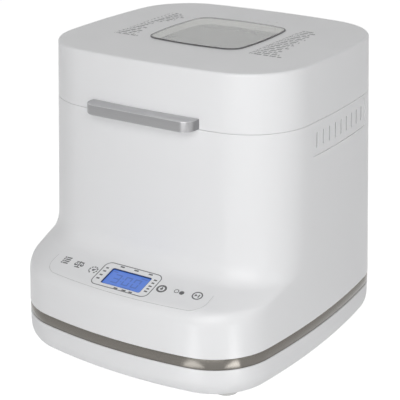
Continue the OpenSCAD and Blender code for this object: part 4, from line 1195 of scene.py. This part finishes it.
def make_border(film):
    """Pale line along the film's front edge and ends."""
    plane = Matrix.Translation(deck_matrix().translation + Vector((DISPLAY_SHIFT, 0, 0)))
    edge = inset_outline(overlay_outline(), BORDER_IN)
    inner_edge = inset_outline(edge, BORDER_W)
    seen = [i for i, p in enumerate(edge) if p.y < BORDER_BACK]
    start = next(i for i in seen if i - 1 not in seen and i > 0)
    order = [(start + i) % len(edge) for i in range(len(seen))]
    line = ribbon(search_tree(film), plane, [edge[i] for i in order], [inner_edge[i] for i in order])
    border = make_object("film_border", line)
    settle(border, "root", "pale_ink", "overlay_film")


# Digits and bars on the lit pane, in mm: number, x and y, then x, y, width and height
SEGMENT_DIGITS = ((3, -14.0, -6.5), (0, -2.0, -6.5), (0, 8.5, -6.5))
# A digit's width, its height and the width of its bars
SEGMENT_DIGIT = (7.6, 12.5, 1.5)
SEGMENT_BARS = ((-4.0, 1.8, 1.3, 1.3), (-4.0, -2.6, 1.3, 1.3), (-16.6, 8.3, 5.0, 1.1), (16.5, 8.3, 7.0, 1.1),
                (-10.0, -9.2, 9.0, 0.9), (6.0, -9.2, 12.0, 0.9))
SEGMENT_LAYER = (0.01 * MM, 0.05 * MM)


def make_segments():
    """Faint segments on the lit pane."""
    plane = deck_matrix() @ Matrix.Translation((0, 0, -DISPLAY_DROP))
    shapes = []
    for number, x, y in SEGMENT_DIGITS:
        shapes += digit(number, x, y, *SEGMENT_DIGIT)
    shapes += [bar(*row) for row in SEGMENT_BARS]
    parts = []
    for shape in shapes:
        bm = prism(in_metres(shape), *SEGMENT_LAYER)
        bmesh.ops.transform(bm, matrix=plane, verts=bm.verts)
        parts.append(bm)
    segments = make_object("display_segments", join_bmesh(parts))
    settle(segments, "root", "segments", "display_blue")


class BREAD_OT_controls(Operator):
    """Makes the control film, the lit display and the prints on the deck"""
    bl_idname = "bread.controls"
    bl_label = "Controls"

    def execute(self, context):
        film = make_overlay()
        make_display()
        make_segments()
        make_deck_prints(film)
        make_border(film)
        return {"FINISHED"}


# --- base ------------------------------------------------------------------------------------------------

TUB_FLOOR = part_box("base_tub")[0][2]
TUB_ROUND = (10 * MM, 16 * MM)
ROUND_STEPS = 14
BAND_CROWN = 0.9 * MM
BAND_T = 1.2 * MM


def make_tub():
    """The tub under the band: a bowl with a wall and a seat for the band."""
    b = sizes()
    side, up = TUB_ROUND
    top = b.band_bottom - BAND_GAP
    rim = band_mid() - JOINT_GAP

    def bowl(t):
        rings = []
        for i in range(ROUND_STEPS + 1):
            a = math.pi / 2 * i / ROUND_STEPS
            z = TUB_FLOOR + t + (up - t) * (1 - math.cos(a))
            rings.append(body_ring(z, t + side * (1 - math.sin(a)), b.reach))
        return rings

    outer = bowl(0.0) + [body_ring(top - SUPPORT, 0.0, b.reach)]
    outer += rim_rings(top, 0.0, b.reach, BAND_EDGE, top=True)
    seat = [body_ring(z, inset, b.reach) for z, inset in ((top, BAND_SEAT), (rim, BAND_SEAT), (rim, b.wall))]
    tub = make_object("tub", loft(outer + seat + list(reversed(bowl(b.wall))), caps=(True, True)))
    settle(tub, "root", "tub_plastic", "tub_plastic", "base_tub")


def make_band():
    """The metal band, crowned outwards at mid-height."""
    b = sizes()
    outer = []
    for i in range(ROUND_STEPS + 1):
        t = i / ROUND_STEPS
        z = b.band_bottom + t * (b.band_top - b.band_bottom)
        outer.append(body_ring(z, BAND_CROWN * (2 * t - 1) ** 2, b.reach))
    inner = [body_ring(b.band_top, BAND_T, b.reach), body_ring(b.band_bottom, BAND_T, b.reach)]
    band = make_object("band", loft(outer + inner, closed=True))
    settle(band, "root", "band_metal", "band_metal", "trim_band")


class BREAD_OT_base(Operator):
    """Makes the tub and the metal band around it"""
    bl_idname = "bread.base"
    bl_label = "Tub and band"

    def execute(self, context):
        make_tub()
        make_band()
        return {"FINISHED"}


# --- lid -------------------------------------------------------------------------------------------------

# The lid's top edge, then the window: its outline, gasket, pane and well
LID_EDGE_R = 2.5 * MM
PANE_PROUD = 1.0 * MM
WINDOW = 111 * MM
WINDOW_R = 16 * MM
WINDOW_BULGE_R = 300 * MM
GASKET_W = 0.8 * MM
GASKET_DROP = 0.15 * MM
GASKET_GAP = 0.1 * MM
PANE_T = 3 * MM
PANE_GAP = 0.2 * MM
PANE_EDGE = 0.5 * MM
PANE_SMOOTH = 12.0
FRAME_EDGE = 0.3 * MM
FRAME_STEPS = 3
WELL_OUT = 1.2 * MM
WELL_IN = GASKET_W + 0.6 * MM
WELL_FOOT = 0.15 * MM
WELL_GAP = 0.02 * MM
# Steam holes behind the window
STEAM_COUNT = 5
STEAM_PITCH = 10.8 * MM
STEAM_R = 1.1 * MM
STEAM_AT = (5 * MM, 14 * MM)


def lid_bottom():
    """Height of the lid's lower edge."""
    b = sizes()
    return b.seam + b.seam_gap / 2


def window_outline(inset):
    """The window's bulging outline, moved in by inset."""
    half = WINDOW / 2 - inset
    points = bulged_outline(half, -half, half, WINDOW_R - inset, WINDOW_R - inset, WINDOW_BULGE_R - inset,
                            WINDOW_BULGE_R - inset, 0.0)
    return shift(points, 0.0, chamber_y())


def make_lid_shell():
    """The lid's shell with the window, the steam holes and the hinge notches cut."""
    b = sizes()
    top = b.height - PANE_PROUD
    bottom = lid_bottom()
    outer = list(reversed(rim_rings(bottom, 0.0, 0.0, EDGE, top=False)))
    outer += [body_ring(bottom + EDGE + SUPPORT), body_ring(top - LID_EDGE_R - SUPPORT)]
    outer += rim_rings(top, 0.0, 0.0, LID_EDGE_R, top=True, steps=8)
    outer += [body_ring(top, LID_EDGE_R + SUPPORT)]
    inner = [body_ring(top - b.wall, b.wall), body_ring(bottom, b.wall)]
    shell = make_object("lid", loft(inner + outer, caps=(True, True)))
    window = prism(window_outline(0.0), top - b.wall - MM, top + MM)
    steam = []
    for i in range(STEAM_COUNT):
        x = STEAM_AT[0] + (i - (STEAM_COUNT - 1) / 2) * STEAM_PITCH
        centre = (x, chamber_y() + WINDOW / 2 + STEAM_AT[1], top)
        steam.append(cylinder_bm(STEAM_R, 3 * b.wall, centre, segments=20))
    for cutter in (window, join_bmesh(steam), notch_cutter(bottom - MM, bottom + HINGE_UP)):
        carve(shell, cutter)
    settle(shell, "lid", "white_plastic", "white_plastic", "lid_shell")


def frame_ring(inset, wall, z0, z1):
    """A frame along the window's outline: a closed profile with rounded upper edges."""
    turns = [math.pi / 2 * i / FRAME_STEPS for i in range(FRAME_STEPS + 1)]
    profile = [(0.0, z0)]
    profile += [(FRAME_EDGE * (1 - math.cos(a)), z1 - FRAME_EDGE * (1 - math.sin(a))) for a in turns]
    profile += [(wall - FRAME_EDGE * (1 - math.cos(a)), z1 - FRAME_EDGE * (1 - math.sin(a)))
                for a in reversed(turns)]
    profile.append((wall, z0))
    return loft([lift(window_outline(inset + d), z) for d, z in profile], closed=True)


def make_window():
    """The gasket, the pane in it and the well that leads down to the liner."""
    b = sizes()
    under = b.height - PANE_PROUD - b.wall
    ring = frame_ring(GASKET_GAP, GASKET_W, under + GASKET_GAP, b.height - GASKET_DROP)
    gasket = make_object("gasket", ring)
    settle(gasket, "lid", "gasket_rubber", "gasket_rubber", "window_gasket")
    bm = prism(window_outline(PANE_GAP + GASKET_W), b.height - PANE_T, b.height)
    round_rims(bm, PANE_EDGE, 3)
    pane = make_object("pane", bm, PANE_SMOOTH)
    settle(pane, "lid", "clear_glass", "clear_glass", "window_glass")
    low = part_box("lid_liner")[1][2] + WELL_FOOT
    well = make_object("window_well", frame_ring(-WELL_OUT, WELL_OUT + WELL_IN, low, under - WELL_GAP))
    settle(well, "lid", "well_plastic", "white_plastic")


# Printed lists on the lid: left edge and width in mm, then each row's length as a share, from the front back
LISTS = (
    (-91.0, 30.0, (1.0, 0.70, 0.76, 0.72, 0.52, 0.60, 0.40, 0.36, 0.44,
                   0.34, 0.50, 0.66, 0.78, 0.70, 0.84, 0.66, 0.48)),
    (66.0, 36.0, (1.0, 0.82, 0.66, 0.74, 0.62, 0.70, 0.58, 0.66, 0.56,
                  0.62, 0.54, 0.64, 0.52, 0.60, 0.48, 0.56, 0.40)),
)
# Ends of the lists, sizes of their letters and words, and the row numbers, in mm
LIST_FRONT = -18.4
LIST_BACK = 86.0
LETTER = 3.2
LETTER_PITCH = 1.35
LETTER_W = 1.08
LETTER_IN = 0.5
LETTER_SHARES = (1.0, 0.8, 0.92)
WORDS = (7.4, 4.6, 9.0, 5.8)
WORD_GAP = 1.0
WORD_MIN = 1.2
NUMBER_DIGIT = (1.5, LETTER + 0.3, 0.5)
NUMBER_PITCH = 2.1
NUMBERS_W = 5.2


def word_shapes(x, y, length_left, turn):
    """Bars of the blank words that fill a row, and no letters."""
    shapes, word, end = [], 0, x + length_left
    while x < end - WORD_MIN:
        long = min(end - x, WORDS[(turn + word) % len(WORDS)])
        for k in range(int(long / LETTER_PITCH)):
            tall = LETTER * LETTER_SHARES[k % len(LETTER_SHARES)]
            shapes.append(bar(x + LETTER_IN + LETTER_PITCH * k, y + LETTER / 2, LETTER_W, tall))
        x += long + WORD_GAP
        word += 1
    return shapes


def list_shapes():
    """Outlines in mm of the rows' numbers and of the blank words after them."""
    shapes = []
    number = 0
    for left, width, shares in LISTS:
        pitch = (LIST_BACK - LIST_FRONT - LETTER) / (len(shares) - 1)
        for i, share in enumerate(reversed(shares)):
            number += 1
            y = LIST_BACK - LETTER - pitch * i
            for place, part in enumerate(str(number)):
                shapes += digit(int(part), left + NUMBER_PITCH * place, y, *NUMBER_DIGIT)
            shapes += word_shapes(left + NUMBERS_W, y, width * share - NUMBERS_W, number)
    return shapes


def make_lists():
    """The two printed lists beside the window."""
    top = sizes().height - PANE_PROUD
    parts = [prism(in_metres(shape), top + INK_LIFT, top + INK_LIFT + INK_T) for shape in list_shapes()]
    lists = make_object("lid_lists", join_bmesh(parts))
    settle(lists, "lid", "list_ink", "white_plastic")


# Width, height and reach from the lid's wall
HANDLE = (120 * MM, 10.5 * MM, 15.5 * MM)
HANDLE_R = 12 * MM
HANDLE_EDGE = 1.1 * MM
HANDLE_GAP = 0.05 * MM
HANDLE_STEPS = 12
HANDLE_SMOOTH = 40.0


def make_handle():
    """A flat bar with rounded ends that lies against the lid's bulging front."""
    b = sizes()
    width, tall, out = HANDLE
    z0 = lid_bottom()
    wall_y = tower_y() - b.depth / 2 + lean(z0) - HANDLE_GAP
    front = wall_y - out
    points = []
    for side, start in ((-1, 180), (1, 270)):
        c = Vector((side * (width / 2 - HANDLE_R), front + HANDLE_R))
        for i in range(HANDLE_STEPS + 1):
            a = math.radians(start + 90 * i / HANDLE_STEPS)
            points.append(c + HANDLE_R * Vector((math.cos(a), math.sin(a))))
    half = width / 2
    for i in range(HANDLE_STEPS + 1):
        x = half - width * i / HANDLE_STEPS
        points.append(Vector((x, wall_y + b.tower_front - math.sqrt(b.tower_front ** 2 - x * x))))
    bm = prism(points, z0, z0 + tall)
    round_rims(bm, HANDLE_EDGE, 4)
    handle = make_object("handle", bm, HANDLE_SMOOTH)
    settle(handle, "lid", "handle_metal", "handle_metal", "lid_handle")
    # The upright faces take the darker copy of the finish: painted shade on the bar's front and ends
    handle.data.materials.append(FINISHES["handle_painted_shade"])
    for face in handle.data.polygons:
        face.material_index = int(abs(face.normal.z) < 0.5)


class BREAD_OT_lid(Operator):
    """Makes the lid, its window and its handle"""
    bl_idname = "bread.lid"
    bl_label = "Lid"

    def execute(self, context):
        make_lid_shell()
        make_window()
        make_lists()
        make_handle()
        return {"FINISHED"}


# --- CAD pieces that stay --------------------------------------------------------------------------------

# Bevel widths in mm
BEVELLED = {
    "rubber_feet": 0.8, "bread_pan": 0.5, "kneading_paddle": 0.6, "pan_base_ring": 0.4, "pan_coupling": 0.3,
    "drive_coupling": 0.3, "lid_liner": 0.4, "chamber_collar": 0.5, "lid_seal": 0.3, "bail_grip": 0.4,
    "cord_gland": 0.5, "hinge_brackets": 0.4, "hinge_leaves": 0.4, "heater_clips": 0.2, "pan_seat": 0.3,
    "motor_end_caps": 0.4, "transformer": 0.4, "relay": 0.4, "terminal_block": 0.4,
}
BEVEL_ANGLE = 40.0
OTHER_FINISH = {"inner_glass": "misted_glass"}


def dress_nodes():
    """Gives each CAD piece that is still shown its finish, a smooth surface and softened edges."""
    for row in frame["record"]["subparts"]:
        node = frame["nodes"][row["node"]]
        if node.hide_render:
            continue
        slot = row["material_slot"]
        node.data.materials.clear()
        node.data.materials.append(FINISHES[OTHER_FINISH.get(row["node"], slot)])
        smooth(node.data)
        if row["node"] in BEVELLED:
            bevel = node.modifiers.new("edges", "BEVEL")
            bevel.width = BEVELLED[row["node"]] * MM
            bevel.segments = 2
            bevel.limit_method = "ANGLE"
            bevel.angle_limit = math.radians(BEVEL_ANGLE)
            bevel.use_clamp_overlap = True


class BREAD_OT_inside(Operator):
    """Dresses the pan, the chamber, the drive and the other CAD pieces"""
    bl_idname = "bread.inside"
    bl_label = "Inside"

    def execute(self, context):
        dress_nodes()
        return {"FINISHED"}


class BREAD_PT_panel(Panel):
    """Lists the sizes and the steps that build the machine"""
    bl_idname = "BREAD_PT_panel"
    bl_label = "Bread machine"
    bl_space_type = "VIEW_3D"
    bl_region_type = "UI"
    bl_category = "Bread machine"

    def draw(self, context):
        layout = self.layout
        for group in (context.scene.bread_body, context.scene.bread_deck, context.scene.bread_colours):
            for name in group.__annotations__:
                layout.prop(group, name)
        for step in STEPS:
            layout.operator(step.bl_idname)


STEPS = (BREAD_OT_stage, BREAD_OT_housing, BREAD_OT_controls, BREAD_OT_base, BREAD_OT_lid, BREAD_OT_inside)
GROUPS = (BodySizes, DeckSizes, SceneColours)
CLASSES = (*GROUPS, *STEPS, BREAD_PT_panel)


def register():
    for cls in CLASSES:
        bpy.utils.register_class(cls)
    bpy.types.Scene.bread_body = PointerProperty(type=BodySizes)
    bpy.types.Scene.bread_deck = PointerProperty(type=DeckSizes)
    bpy.types.Scene.bread_colours = PointerProperty(type=SceneColours)


def unregister():
    del bpy.types.Scene.bread_colours
    del bpy.types.Scene.bread_deck
    del bpy.types.Scene.bread_body
    for cls in reversed(CLASSES):
        bpy.utils.unregister_class(cls)


def main():
    """Builds the whole machine."""
    register()
    make_finishes()
    bpy.ops.bread.stage()
    bpy.ops.bread.housing()
    bpy.ops.bread.controls()
    bpy.ops.bread.base()
    bpy.ops.bread.lid()
    bpy.ops.bread.inside()


if __name__ == "__main__":
    main()
